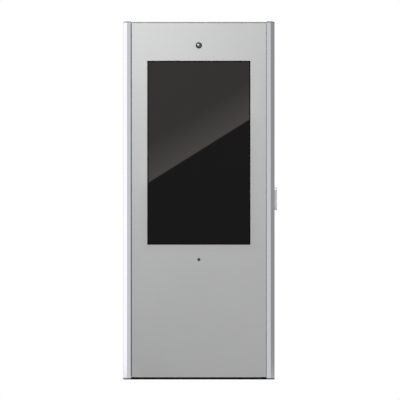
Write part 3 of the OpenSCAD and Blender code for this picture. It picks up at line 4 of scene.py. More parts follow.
import bmesh
import bpy
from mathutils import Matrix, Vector

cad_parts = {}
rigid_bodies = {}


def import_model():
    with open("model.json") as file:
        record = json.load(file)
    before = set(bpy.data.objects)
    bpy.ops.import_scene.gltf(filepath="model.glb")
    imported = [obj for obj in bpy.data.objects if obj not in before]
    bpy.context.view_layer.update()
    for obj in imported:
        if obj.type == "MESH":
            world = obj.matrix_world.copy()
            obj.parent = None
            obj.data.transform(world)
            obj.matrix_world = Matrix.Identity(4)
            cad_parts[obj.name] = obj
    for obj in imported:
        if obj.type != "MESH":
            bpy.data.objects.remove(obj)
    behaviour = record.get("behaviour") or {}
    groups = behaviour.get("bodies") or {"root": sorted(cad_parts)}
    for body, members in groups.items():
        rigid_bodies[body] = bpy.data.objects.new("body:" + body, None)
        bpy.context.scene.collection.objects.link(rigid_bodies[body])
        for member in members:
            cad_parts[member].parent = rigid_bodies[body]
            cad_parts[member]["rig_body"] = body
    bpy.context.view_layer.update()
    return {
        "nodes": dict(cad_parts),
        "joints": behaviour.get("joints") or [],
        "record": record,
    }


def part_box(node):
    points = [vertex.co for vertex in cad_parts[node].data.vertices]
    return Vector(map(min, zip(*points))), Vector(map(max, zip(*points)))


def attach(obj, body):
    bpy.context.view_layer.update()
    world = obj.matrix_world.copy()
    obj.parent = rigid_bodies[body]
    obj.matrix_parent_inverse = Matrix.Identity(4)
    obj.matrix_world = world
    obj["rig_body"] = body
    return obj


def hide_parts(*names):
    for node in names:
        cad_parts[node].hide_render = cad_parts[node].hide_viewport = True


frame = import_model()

# Lengths are in metres, in the frame of the solids: Z is up and the front looks along -Y
MM = 0.001
FULL_TURN = 2 * math.pi
BACKWARDS = (0.0, 1.0, 0.0)
SLOT_OF = {item["node"]: item["material_slot"] for item in frame["record"]["subparts"]}
scene = bpy.context.scene
scene.view_settings.view_transform = "Standard"


# Places in the frame, and objects in the scene

def centre(node):
    """The middle of a node's box."""
    low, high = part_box(node)
    return (low + high) / 2


def axis_of(body):
    """The place of the joint that a body turns on."""
    return next(Vector(joint["pos_m"]) for joint in frame["joints"] if joint["child"] == body)


def linked(name, data):
    """A new object in the scene."""
    obj = bpy.data.objects.new(name, data)
    scene.collection.objects.link(obj)
    return obj


# Nodes of materials and of geometry trees

def put(owner, kind, inputs=None, **settings):
    """Adds a node to a material, world or tree; an input is a value or another node's socket."""
    tree = getattr(owner, "node_tree", owner)
    node = tree.nodes.new(kind)
    for label, value in settings.items():
        setattr(node, label, value)
    for key, value in (inputs or {}).items():
        if isinstance(value, bpy.types.NodeSocket):
            tree.links.new(value, node.inputs[key])
        else:
            node.inputs[key].default_value = value
    return node


def calc(owner, operation, *values):
    """The result of one step of arithmetic."""
    return put(owner, "ShaderNodeMath", dict(enumerate(values)), operation=operation).outputs[0]


# Materials: every finish is procedural, on object coordinates

def finish(name, colour, roughness, metallic=0.0, **sockets):
    """A Principled material with its plain values set on the shader's own sockets."""
    mat = bpy.data.materials.new(name)
    mat.use_nodes = True
    shader = mat.node_tree.nodes["Principled BSDF"]
    shader.inputs["Base Color"].default_value = (*colour, 1.0)
    shader.inputs["Roughness"].default_value = roughness
    shader.inputs["Metallic"].default_value = metallic
    for label, value in sockets.items():
        shader.inputs[label.replace("_", " ")].default_value = value
    return mat


def place(mat, scale=(1, 1, 1), origin=(0, 0, 0)):
    """Object coordinates, measured from an origin and stretched along the axes."""
    at = put(mat, "ShaderNodeTexCoord").outputs["Object"]
    moved = put(mat, "ShaderNodeVectorMath", {0: at, 1: origin}, operation="SUBTRACT").outputs[0]
    stretched = put(mat, "ShaderNodeVectorMath", {0: moved, 1: scale}, operation="MULTIPLY")
    return stretched.outputs[0]


def distance(mat, origin=(0, 0, 0), scale=(1, 1, 1)):
    """How far a point lies from an origin; a scale of 0 leaves an axis out."""
    away = place(mat, scale, origin)
    return put(mat, "ShaderNodeVectorMath", {0: away}, operation="LENGTH").outputs["Value"]


def grain(mat, size, stretch=(1, 1, 1), detail=3.0):
    """Noise whose lumps are about size metres across."""
    spot = place(mat, tuple(s / size for s in stretch))
    return put(mat, "ShaderNodeTexNoise", {"Vector": spot, "Scale": 1.0, "Detail": detail}).outputs["Fac"]


def cells(mat, size):
    """Cells about size metres across: zinc spangle, foam pores or printed dots."""
    spot = place(mat, (1 / size,) * 3)
    return put(mat, "ShaderNodeTexVoronoi", {"Vector": spot, "Scale": 1.0}).outputs


def spread(mat, value, low, high, start=0.3, end=0.7, **settings):
    """Maps a texture's usual range, or the range that is given, to low and high."""
    node = put(mat, "ShaderNodeMapRange", {
        "Value": value, "From Min": start, "From Max": end, "To Min": low, "To Max": high,
    }, **settings)
    return node.outputs["Result"]


def rings(mat, origin, pitch):
    """Fine rings about a turned part's Y axis."""
    turns = calc(mat, "MULTIPLY", distance(mat, origin, (1, 0, 1)), FULL_TURN / pitch)
    return spread(mat, calc(mat, "SINE", turns), 0.0, 1.0, -1.0, 1.0)


def feed(mat, label, socket):
    """Links a socket to the material's shader."""
    mat.node_tree.links.new(socket, mat.node_tree.nodes["Principled BSDF"].inputs[label])


def shine(mat, value, low, high):
    """Roughness between two values."""
    feed(mat, "Roughness", spread(mat, value, low, high))


def tone(mat, value, dark, light, start=0.3, end=0.7):
    """Two tones of one colour, mixed by a texture or another value."""
    share = spread(mat, value, 0.0, 1.0, start, end)
    mix = put(mat, "ShaderNodeMix", {0: share, 6: (*dark, 1.0), 7: (*light, 1.0)}, data_type="RGBA")
    feed(mat, "Base Color", mix.outputs[2])


def relief(mat, value, height, strength):
    """Bump of a height in metres."""
    bump = put(mat, "ShaderNodeBump", {"Height": value, "Distance": height, "Strength": strength})
    feed(mat, "Normal", bump.outputs["Normal"])


def shade(colour, factor):
    """A darker or lighter tone of a colour."""
    return tuple(c * factor for c in colour)


def painted(name, colour, size, roughness, **sockets):
    """Powder coat: a fine orange-peel grain with a slow drift in tone."""
    mat = finish(name, colour, roughness, **sockets)
    peel = grain(mat, size)
    drift = grain(mat, 350 * MM, detail=2.0)
    tone(mat, drift, shade(colour, 0.985), shade(colour, 1.015))
    shine(mat, peel, roughness - 0.05, roughness + 0.05)
    relief(mat, peel, 0.05 * MM, 0.35)
    return mat


def moulded(name, colour, size, roughness, height=0.06 * MM, **sockets):
    """Moulded plastic or rubber with an eroded texture."""
    mat = finish(name, colour, roughness, **sockets)
    pits = grain(mat, size, detail=4.0)
    # Painted shade and highlight: the tone follows the relief, darker where the texture is sunken and
    # lighter where it stands up
    tone(mat, pits, shade(colour, 0.9), shade(colour, 1.1))
    shine(mat, pits, roughness - 0.06, roughness + 0.06)
    relief(mat, pits, height, 0.45)
    return mat


def brushed(name, colour, roughness, stretch):
    """Metal with fine lines along one axis."""
    mat = finish(name, colour, roughness, 1.0)
    lines = grain(mat, 0.4 * MM, stretch, 4.0)
    bands = grain(mat, 6 * MM, stretch, 2.0)
    tone(mat, bands, shade(colour, 0.98), shade(colour, 1.02))
    shine(mat, lines, roughness - 0.06, roughness + 0.06)
    relief(mat, lines, 0.004 * MM, 0.4)
    return mat


def turned(name, colour, roughness, origin, metallic=1.0, **sockets):
    """A face turned on a lathe."""
    mat = finish(name, colour, roughness, metallic, **sockets)
    lines = rings(mat, origin, 0.35 * MM)
    shine(mat, lines, roughness - 0.04, roughness + 0.05)
    tone(mat, grain(mat, 3 * MM), shade(colour, 0.94), shade(colour, 1.06))
    relief(mat, lines, 0.006 * MM, 0.4)
    return mat


def foam(name, colour, size):
    """Open foam: light walls round dark pores; the tone follows the relief, so this is painted shade in
    the sunken parts and painted highlight on the raised ones.
    """
    mat = finish(name, colour, 0.95)
    pores = cells(mat, size)["Distance"]
    # Painted shade and highlight: darker where the relief below is sunken, lighter where it stands up
    tone(mat, pores, shade(colour, 1.5), shade(colour, 0.45), 0.1, 0.7)
    relief(mat, pores, -size, 0.8)
    return mat


def zinc():
    """Zinc-plated sheet with its spangle."""
    colour = (0.56, 0.57, 0.58)
    mat = finish("zinc_plated_sheet", colour, 0.36, 1.0)
    spangle = put(mat, "ShaderNodeRGBToBW", {"Color": cells(mat, 11 * MM)["Color"]}).outputs[0]
    tone(mat, spangle, shade(colour, 0.95), shade(colour, 1.05), 0.2, 0.8)
    shine(mat, spangle, 0.33, 0.4)
    relief(mat, grain(mat, 1.5 * MM), 0.01 * MM, 0.3)
    return mat


def chrome():
    """Bright chrome with faint wear."""
    colour = (0.74, 0.74, 0.75)
    mat = finish("bright_chrome", colour, 0.09, 1.0)
    shine(mat, grain(mat, 0.25 * MM, (1, 1, 0.1), 5.0), 0.06, 0.14)
    tone(mat, grain(mat, 8 * MM), shade(colour, 0.96), shade(colour, 1.04))
    return mat


def bonded_glass():
    """Black-backed glass with faint wiping marks that only change its gloss."""
    black = (0.0028, 0.0027, 0.0029)
    mat = finish("bonded_touch_glass", black, 0.05, IOR=1.5)
    shine(mat, grain(mat, 60 * MM, (1.0, 1.0, 0.45)), 0.04, 0.075)
    tone(mat, grain(mat, 200 * MM), shade(black, 0.93), shade(black, 1.07))
    return mat


def clear_sheet():
    """Edge-lit acrylic with its printed dots."""
    mat = finish("edge_lit_acrylic", (0.72, 0.76, 0.78), 0.12, IOR=1.49)
    tone(mat, cells(mat, 2.5 * MM)["Distance"], (0.82, 0.84, 0.85), (0.66, 0.7, 0.73), 0.1, 0.5)
    return mat


# The lens's rings from the middle out: a share of its radius, and the brightness there
LENS_RINGS = (
    (0.0, 0.002), (0.3, 0.002), (0.32, 0.05), (0.36, 0.05), (0.38, 0.01),
    (0.62, 0.016), (0.64, 0.07), (0.7, 0.07), (0.72, 0.012), (1.0, 0.02),
)
LENS_TINT = (0.95, 0.92, 1.15)


def coated_lens(origin, radius):
    """Dark optics under a coated dome: the pupil and the rims of the inner elements show as rings."""
    mat = finish(
        "coated_lens", (0.01, 0.011, 0.014), 0.06, IOR=1.9, Coat_Weight=0.6, Coat_Roughness=0.03)
    share = spread(mat, distance(mat, origin, (1, 0, 1)), 0.0, 1.0, 0.0, radius)
    ramp = put(mat, "ShaderNodeValToRGB", {"Fac": share})
    stops = ramp.color_ramp.elements
    for at, _ in LENS_RINGS[1:-1]:
        stops.new(at)
    for stop, (_, level) in zip(stops, LENS_RINGS):
        stop.color = (*shade(LENS_TINT, level), 1.0)
    feed(mat, "Base Color", ramp.outputs["Color"])
    shine(mat, grain(mat, 4 * MM), 0.04, 0.07)
    return mat


# The finish of each material slot of the record
FINISHES = {
    "anodised_aluminium": brushed("anodised_columns", (0.56, 0.567, 0.596), 0.22, (1, 1, 0.012)),
    "cap_plastic": moulded("grey_cap_plastic", (0.28, 0.28, 0.29), 0.5 * MM, 0.46),
    "black_steel": painted(
        "black_powder_coat", (0.01, 0.01, 0.011), 0.7 * MM, 0.55, Specular_IOR_Level=0.2),
    "black_rubber": moulded(
        "black_rubber", (0.005, 0.005, 0.0055), 0.8 * MM, 0.75, 0.1 * MM, Specular_IOR_Level=0.05),
    "zinc_steel": zinc(),
    "panel_paint": painted("grey_powder_coat", (0.475, 0.479, 0.478), 0.7 * MM, 0.5),
    # Painted shade: the top cover is painted darker so that its front edge stands in for the shadow gap
    # above the panel
    "cover_paint": painted("cover_coat_painted_shade", (0.17, 0.17, 0.174), 0.7 * MM, 0.5),
    "screw_steel": brushed("bright_screw_steel", (0.6, 0.6, 0.61), 0.28, (1, 1, 1)),
    "touch_glass": bonded_glass(),
    "display_black": moulded("display_polariser", (0.008, 0.008, 0.009), 0.3 * MM, 0.35, 0.01 * MM),
    "acrylic": clear_sheet(),
    "bezel_black": turned(
        "black_anodised", (0.012, 0.011, 0.011), 0.4, centre("camera_bezel"), 0.0, Specular_IOR_Level=0.3),
    "lens_glass": coated_lens(centre("camera_lens"), 10 * MM),
    "black_plastic": moulded("black_plastic", (0.02, 0.02, 0.021), 0.5 * MM, 0.5),
    "reader_plastic": moulded("light_grey_plastic", (0.85, 0.86, 0.855), 0.45 * MM, 0.32, 0.03 * MM),
    "smoked_plastic": moulded("smoked_plastic", (0.012, 0.012, 0.014), 2.0 * MM, 0.13, 0.004 * MM),
    "button_metal": turned("turned_steel", (0.58, 0.58, 0.6), 0.26, centre("computer_button")),
    "seal_foam": foam("black_seal_foam", (0.02, 0.02, 0.02), 0.7 * MM),
    "hinge_steel": brushed("brushed_hinge_steel", (0.5, 0.5, 0.515), 0.34, (1, 1, 0.02)),
    "lock_chrome": chrome(),
    "filter_foam": foam("reticulated_filter_foam", (0.055, 0.055, 0.057), 1.4 * MM),
}


def clad(obj, mat):
    """Gives an object one finish."""
    obj.data.materials.clear()
    obj.data.materials.append(mat)


# Pieces that stand for CAD nodes

def joined(node):
    """The CAD node's triangles as one closed mesh with whole flat faces."""
    bm = bmesh.new()
    bm.from_mesh(frame["nodes"][node].data)
    weld, flat = 2e-6, math.radians(0.4)
    bmesh.ops.remove_doubles(bm, verts=bm.verts, dist=weld)
    bmesh.ops.dissolve_limit(bm, angle_limit=flat, verts=bm.verts, edges=bm.edges)
    return bm


def settled(obj):
    """The object's modifiers worked into a plain mesh."""
    evaluated = obj.evaluated_get(bpy.context.evaluated_depsgraph_get())
    mesh = bpy.data.meshes.new_from_object(evaluated)
    obj.modifiers.clear()
    obj.data = mesh
    return obj


def shaded(bm):
    """Smooth faces, with the edges above an angle kept sharp."""
    sharp = math.radians(38)
    for face in bm.faces:
        face.smooth = True
    for edge in bm.edges:
        edge.smooth = len(edge.link_faces) == 2 and edge.calc_face_angle(0.0) < sharp


def even(obj):
    """Normals weighted by area, so that broad flat faces stay flat beside their rounded edges."""
    weigh = obj.modifiers.new("weigh", "WEIGHTED_NORMAL")
    weigh.mode = "FACE_AREA"
    weigh.keep_sharp = True
    return settled(obj)


def stand_in(obj, nodes, mat=None, body_of=None):
    """Gives a piece its finish and its body, and hides the CAD nodes that it replaces."""
    first = body_of or nodes[0]
    clad(obj, mat or FINISHES[SLOT_OF[first]])
    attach(obj, frame["nodes"][first]["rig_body"])
    if nodes:
        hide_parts(*nodes)
    return obj


def piece(name, bm, nodes, mat=None, body_of=None):
    """Makes a mesh a piece of the object."""
    mesh = bpy.data.meshes.new(name)
    bm.to_mesh(mesh)
    bm.free()
    return stand_in(linked(name, mesh), nodes, mat, body_of)


def small_piece(name, bm, beside, mat=None):
    """A piece with no CAD node of its own, on the body of a node beside it."""
    shaded(bm)
    piece(name, bm, [], mat, beside)


def sharp_edges(bm, angle, least):
    """The edges whose faces meet at more than an angle in degrees, and that are long enough."""
    return [
        e for e in bm.edges
        if len(e.link_faces) == 2 and e.calc_face_angle(0.0) > math.radians(angle)
        and e.calc_length() > least
    ]


def rounded(bm, edges, width, segments=2, clamp=False):
    """Rounds edges of a mesh."""
    bmesh.ops.bevel(
        bm, geom=edges, offset=width, offset_type="OFFSET", segments=segments, profile=0.5,
        affect="EDGES", clamp_overlap=clamp,
    )


def softened(node, width, least=0.0, bm=None):
    """The CAD node, or a mesh cut from it, with its sharp edges rounded; sizes in millimetres."""
    bm = bm or joined(node)
    rounded(bm, sharp_edges(bm, angle=40, least=least * MM), width * MM, clamp=True)
    speck = 1e-6
    bmesh.ops.dissolve_degenerate(bm, dist=speck, edges=bm.edges)
    bmesh.ops.triangulate(bm, faces=[f for f in bm.faces if len(f.verts) > 4])
    shaded(bm)
    return even(piece(node + "_finished", bm, [node]))


# Nodes with rounded edges: the rounding's width and the least length of an edge, in millimetres
SOFT_EDGES = {
    "front_panel": (0.4, 30), "door_panel": (0.8, 30), "connection_panel": (0.8, 20),
    "top_cover": (0.6, 20), "base_plate": (0.8, 12), "base_brackets": (0.6, 8), "base_seals": (1.2, 20),
    "cross_rails": (0.6, 12), "equipment_shelf": (0.5, 25), "display_gasket": (0.4, 20),
    "display_frame": (0.4, 20), "display_clamps": (0.5, 4), "lcd_chassis": (0.8, 20),
    "driver_cover": (0.8, 20), "camera_bracket": (0.4, 6), "reader_cover": (0.5, 8),
    "reader_backplate": (0.4, 8), "reader_window": (0.4, 6), "switch_frame": (0.5, 6),
    "power_inlet": (0.5, 4), "data_socket": (0.3, 3), "computer_case": (0.8, 20),
    "power_supply": (0.7, 20), "door_seal": (1.5, 20), "fan_frames": (0.6, 8), "filter_frame": (0.6, 10),
    "hinge_frame_leaves": (0.4, 12), "hinge_door_leaves": (0.4, 12), "camera_bezel": (0.5, 0),
    "camera_nut": (0.4, 3), "hinge_pins": (0.4, 0), "lock_bodies": (0.6, 0),
    "lock_upper_barrel": (0.3, 3), "lock_lower_barrel": (0.3, 3), "computer_button": (0.4, 0),
    "rocker_switch": (0.5, 6),
}


def column_feet():
    """The feet, painted darker than the caps that share their slot: painted shade for the shadow near the
    floor.
    """
    plastic = moulded("foot_plastic_painted_shade", (0.15, 0.15, 0.154), 0.5 * MM, 0.5)
    clad(softened("column_feet", width=0.6, least=6), plastic)


def microphone_grille():
    """The microphone's turned grille."""
    grey = turned("grey_anodised", (0.036, 0.034, 0.034), 0.36, centre("microphone_grille"), 0.0)
    clad(softened("microphone_grille", width=0.25), grey)


def columns():
    """The extruded columns, with a broader rounding where the chamfers meet the outer sides."""
    near = 0.01 * MM
    for node in ("column_left", "column_right"):
        side = max(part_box(node), key=lambda corner: abs(corner.x)).x
        bm = joined(node)
        outer = [
            e for e in sharp_edges(bm, angle=30, least=1.0)
            if all(abs(v.co.x - side) < near for v in e.verts)
        ]
        rounded(bm, outer, width=1.8 * MM, segments=4)
        softened(node, width=0.8, least=30, bm=bm)


def sloped_caps():
    """The column caps with a long rounded slope down to their outer ends."""
    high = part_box("column_caps")[1]
    run, rise, cuts = 20 * MM, 7 * MM, 4
    bm = joined("column_caps")
    for side in (-1, 1):
        for k in range(cuts):
            angle = math.pi / 2 * (k + 1) / (cuts + 1)
            flat, steep = math.cos(angle), math.sin(angle)
            cut = bmesh.ops.bisect_plane(
                bm, geom=bm.verts[:] + bm.edges[:] + bm.faces[:], clear_outer=True,
                plane_co=(side * (high.x - run + run * flat), 0.0, high.z - rise + rise * steep),
                plane_no=(side * flat / run, 0.0, steep / rise),
            )
            rim = [e for e in cut["geom_cut"] if isinstance(e, bmesh.types.BMEdge)]
            bmesh.ops.holes_fill(bm, edges=rim, sides=0)
    softened("column_caps", width=0.5, least=6, bm=bm)


# Pieces grown by Geometry Nodes: they repeat, or follow a rule

def geometry_tree(name, sizes):
    """A tree with a named input for each size, and its group input and output."""
    group = bpy.data.node_groups.new(name, "GeometryNodeTree")
    kinds = {int: "NodeSocketInt", float: "NodeSocketFloat", bpy.types.Material: "NodeSocketMaterial"}
    group.interface.new_socket("Geometry", in_out="INPUT", socket_type="NodeSocketGeometry")
    for label, value in sizes.items():
        group.interface.new_socket(label, in_out="INPUT", socket_type=kinds[type(value)])
    group.interface.new_socket("Geometry", in_out="OUTPUT", socket_type="NodeSocketGeometry")
    return group, group.nodes.new("NodeGroupInput").outputs, group.nodes.new("NodeGroupOutput").inputs


def vector(group, **parts):
    """A vector from its named parts; the others are 0."""
    return put(group, "ShaderNodeCombineXYZ", parts).outputs[0]


def position(group):
    """A point's own coordinates."""
    here = put(group, "GeometryNodeInputPosition").outputs[0]
    return put(group, "ShaderNodeSeparateXYZ", {0: here}).outputs


def off_axis(group, at):
    """How far a point lies from the Z axis."""
    squares = [calc(group, "MULTIPLY", at[axis], at[axis]) for axis in "XY"]
    return calc(group, "SQRT", calc(group, "ADD", *squares))


def shifted(group, geometry, **moves):
    """Moves geometry along the named axes."""
    return put(group, "GeometryNodeTransform", {
        "Geometry": geometry, "Translation": vector(group, **moves),
    }).outputs[0]


def lifted(group, geometry, rise, chosen):
    """Raises the chosen points of geometry."""
    return put(group, "GeometryNodeSetPosition", {
        "Geometry": geometry, "Selection": chosen, "Offset": vector(group, Z=rise),
    }).outputs[0]


def gathered(group, *parts):
    """Several geometries as one."""
    join = put(group, "GeometryNodeJoinGeometry")
    for part in parts:
        group.links.new(part, join.inputs[0])
    return join.outputs[0]


def hoop(group, radius, sides):
    """A circle as a curve."""
    return put(group, "GeometryNodeCurvePrimitiveCircle", {
        "Resolution": sides, "Radius": radius,
    }).outputs[0]


def tube(group, curve, radius, sides):
    """A round wire along a curve."""
    return put(group, "GeometryNodeCurveToMesh", {
        "Curve": curve, "Profile Curve": hoop(group, radius, sides), "Fill Caps": True,
    }).outputs[0]


def counted(group, count):
    """Points on one spot to copy geometry to, and their numbers."""
    marks = put(group, "GeometryNodeMeshLine", {"Count": count, "Offset": (0, 0, 0)}).outputs[0]
    return marks, put(group, "GeometryNodeInputIndex").outputs[0]


def copied(group, points, geometry, **inputs):
    """Copies geometry to points as real geometry; the inputs turn or scale the copies."""
    copies = put(group, "GeometryNodeInstanceOnPoints", {"Points": points, "Instance": geometry, **inputs})
    return put(group, "GeometryNodeRealizeInstances", {"Geometry": copies.outputs[0]}).outputs[0]


def spun(group, geometry, count, start=0.0):
    """Copies geometry round the Z axis."""
    marks, index = counted(group, count)
    step = calc(group, "DIVIDE", FULL_TURN, count)
    angle = calc(group, "ADD", calc(group, "MULTIPLY", index, step), start)
    return copied(group, marks, geometry, Rotation=vector(group, Z=angle))


def at_points(group, size, geometry, end):
    """Copies geometry to every point, with its Z along the point's own direction, and finishes it."""
    out = put(group, "GeometryNodeInputNamedAttribute", {"Name": "out"}, data_type="FLOAT_VECTOR")
    turn = put(group, "FunctionNodeAlignRotationToVector", {"Vector": out.outputs[0]}, axis="Z")
    whole = copied(group, size["Geometry"], geometry, Rotation=turn.outputs[0])
    clothed = put(group, "GeometryNodeSetMaterial", {"Geometry": whole, "Material": size["Material"]})
    group.links.new(clothed.outputs[0], end[0])
    return group


def grown(name, group, sizes, sites, nodes, body_of=None):
    """Grows a tree at points with directions, and makes the result a piece of the object."""
    mesh = bpy.data.meshes.new(name)
    mesh.from_pydata([point for point, out in sites], [], [])
    ways = mesh.attributes.new("out", "FLOAT_VECTOR", "POINT")
    ways.data.foreach_set("vector", [part for point, out in sites for part in out])
    obj = linked(name, mesh)
    grow = obj.modifiers.new("grow", "NODES")
    grow.node_group = group
    for item in group.interface.items_tree:
        if item.in_out == "INPUT" and item.name in sizes:
            grow[item.identifier] = sizes[item.name]
    settled(obj)
    bm = bmesh.new()
    bm.from_mesh(obj.data)
    shaded(bm)
    bm.to_mesh(obj.data)
    bm.free()
    stand_in(obj, nodes, sizes["Material"], body_of)


# Screws

def islands(node):
    """The corners of each separate solid of a CAD node."""
    bm = joined(node)
    seen, groups = set(), []
    for start in bm.verts:
        if start in seen:
            continue
        seen.add(start)
        stack, found = [start], []
        while stack:
            vert = stack.pop()
            found.append(vert.co.copy())
            for edge in vert.link_edges:
                other = edge.other_vert(vert)
                if other not in seen:
                    seen.add(other)
                    stack.append(other)
        groups.append(found)
    bm.free()
    return groups


def screw_site(corners):
    """A screw's seat and the way its head looks, with its sizes: head, shank and length."""
    near_rim, tip_slice = 0.97, 0.3 * MM
    low = Vector([min(c[k] for c in corners) for k in range(3)])
    high = Vector([max(c[k] for c in corners) for k in range(3)])
    size, middle = high - low, (low + high) / 2
    axis = min(range(3), key=lambda k: abs(size[(k + 1) % 3] - size[(k + 2) % 3]))
    across = [k for k in range(3) if k != axis]
    radii = [math.hypot(*(c[k] - middle[k] for k in across)) for c in corners]
    head_r = max(radii)
    rim = [c[axis] for c, r in zip(corners, radii) if r > near_rim * head_r]
    seat = sum(rim) / len(rim)
    top, tip = high[axis], low[axis]
    if seat < middle[axis]:
        top, tip = tip, top
    shank_r = max(r for c, r in zip(corners, radii) if abs(c[axis] - tip) < tip_slice)
    out = Vector((0, 0, 0))
    out[axis] = math.copysign(1.0, top - tip)
    point = middle.copy()
    point[axis] = seat
    return (point, out), (head_r, abs(top - seat), shank_r, abs(seat - tip))


def screw_head(group, size):
    """A domed or sunk head with a hexagon socket, standing on the Z axis."""
    height, top_layer, key_middle = size["Head Height"], 0.9, 0.95
    head = put(group, "GeometryNodeMeshCone", {
        "Vertices": 28, "Side Segments": 2, "Fill Segments": 3, "Radius Top": size["Top Radius"],
        "Radius Bottom": size["Bottom Radius"], "Depth": height,
    }, fill_type="TRIANGLE_FAN").outputs["Mesh"]
    at = position(group)
    share = calc(group, "DIVIDE", off_axis(group, at), size["Top Radius"])
    fall = calc(group, "SUBTRACT", 1.0, calc(group, "MULTIPLY", share, share))
    above = calc(group, "GREATER_THAN", at["Z"], calc(group, "MULTIPLY", height, top_layer))
    head = lifted(group, head, calc(group, "MULTIPLY", fall, size["Dome"]), above)
    key = put(group, "GeometryNodeMeshCylinder", {
        "Vertices": 6, "Radius": size["Socket Radius"], "Depth": height,
    }).outputs["Mesh"]
    key = shifted(group, key, Z=calc(group, "MULTIPLY", height, key_middle))
    cut = put(group, "GeometryNodeMeshBoolean", {"Mesh 1": head, "Mesh 2": key}, operation="DIFFERENCE")
    return shifted(group, cut.outputs[0], Z=size["Head Base"])


def screw_shank(group, size):
    """A shank with a thread wound round most of it, below the head's base."""
    base, length, radius = size["Head Base"], size["Length"], size["Shank Radius"]
    just_under_half, pitch_share, threaded_share, wire_share = 0.498, 0.36, 0.9, 0.3
    shank = put(group, "GeometryNodeMeshCylinder", {
        "Vertices": 16, "Radius": radius, "Depth": length,
    }).outputs["Mesh"]
    middle = calc(group, "SUBTRACT", base, calc(group, "MULTIPLY", length, just_under_half))
    shank = shifted(group, shank, Z=middle)
    pitch = calc(group, "MULTIPLY", radius, pitch_share)
    threaded = calc(group, "MULTIPLY", length, threaded_share)
    spiral = put(group, "GeometryNodeCurveSpiral", {
        "Resolution": 12, "Rotations": calc(group, "DIVIDE", threaded, pitch),
        "Start Radius": radius, "End Radius": radius, "Height": threaded,
    }).outputs[0]
    thread = tube(group, spiral, calc(group, "MULTIPLY", pitch, wire_share), 3)
    thread = shifted(group, thread, Z=calc(group, "SUBTRACT", base, length))
    return gathered(group, shank, thread)


def screw_tree(sizes):
    """A screw at every point."""
    group, size, end = geometry_tree("socket_screw", sizes)
    screw = gathered(group, screw_head(group, size), screw_shank(group, size))
    return at_points(group, size, screw, end)


def screws(node, sunk=False):
    """Detailed screws in place of a node's plain ones, which are all alike."""
    found = [screw_site(corners) for corners in islands(node)]
    head_r, head_h, shank_r, length = found[0][1]
    core_share, socket_share, top_share, dome_share = 0.94, 0.62, 0.78, 0.22
    sizes = {"Shank Radius": shank_r * core_share, "Socket Radius": shank_r * socket_share}
    if sunk:
        depth = head_r - shank_r
        sizes.update({
            "Top Radius": head_r, "Bottom Radius": shank_r, "Head Height": depth, "Head Base": -depth,
            "Dome": 0.0, "Length": length - depth,
        })
    else:
        sizes.update({
            "Top Radius": head_r * top_share, "Bottom Radius": head_r, "Head Height": head_h,
            "Head Base": 0.0, "Dome": head_h * dome_share, "Length": length,
        })
    sizes["Material"] = FINISHES[SLOT_OF[node]]
    grown(node + "_detailed", screw_tree(sizes), sizes, [site for site, _ in found], [node])


# Fans

def guard_tree(sizes):
    """A finger guard of round wire: hoops on four arms that end in screw eyes."""
    group, size, end = geometry_tree("wire_guard", sizes)
    wire, inner, eye_r = size["Wire Radius"], size["Inner Radius"], size["Eye Radius"]
    arm_count, first_arm, wire_sides = 4, math.radians(45), 8
    marks, index = counted(group, size["Rings"])
    width = calc(group, "SUBTRACT", size["Outer Radius"], inner)
    step = calc(group, "DIVIDE", width, calc(group, "SUBTRACT", size["Rings"], 1))
    radius = calc(group, "ADD", calc(group, "MULTIPLY", index, step), inner)
    hoops = copied(group, marks, hoop(group, 1.0, 64), Scale=radius)
    arm_end = calc(group, "SUBTRACT", size["Arm Length"], eye_r)
    arm = put(group, "GeometryNodeCurvePrimitiveLine", {
        "Start": vector(group, X=inner), "End": vector(group, X=arm_end),
    }).outputs[0]
    eye = shifted(group, tube(group, hoop(group, eye_r, 24), wire, wire_sides), X=size["Arm Length"])
    arm = gathered(group, tube(group, arm, wire, wire_sides), eye)
    arms = spun(group, arm, arm_count, first_arm)
    return at_points(group, size, gathered(group, tube(group, hoops, wire, wire_sides), arms), end)


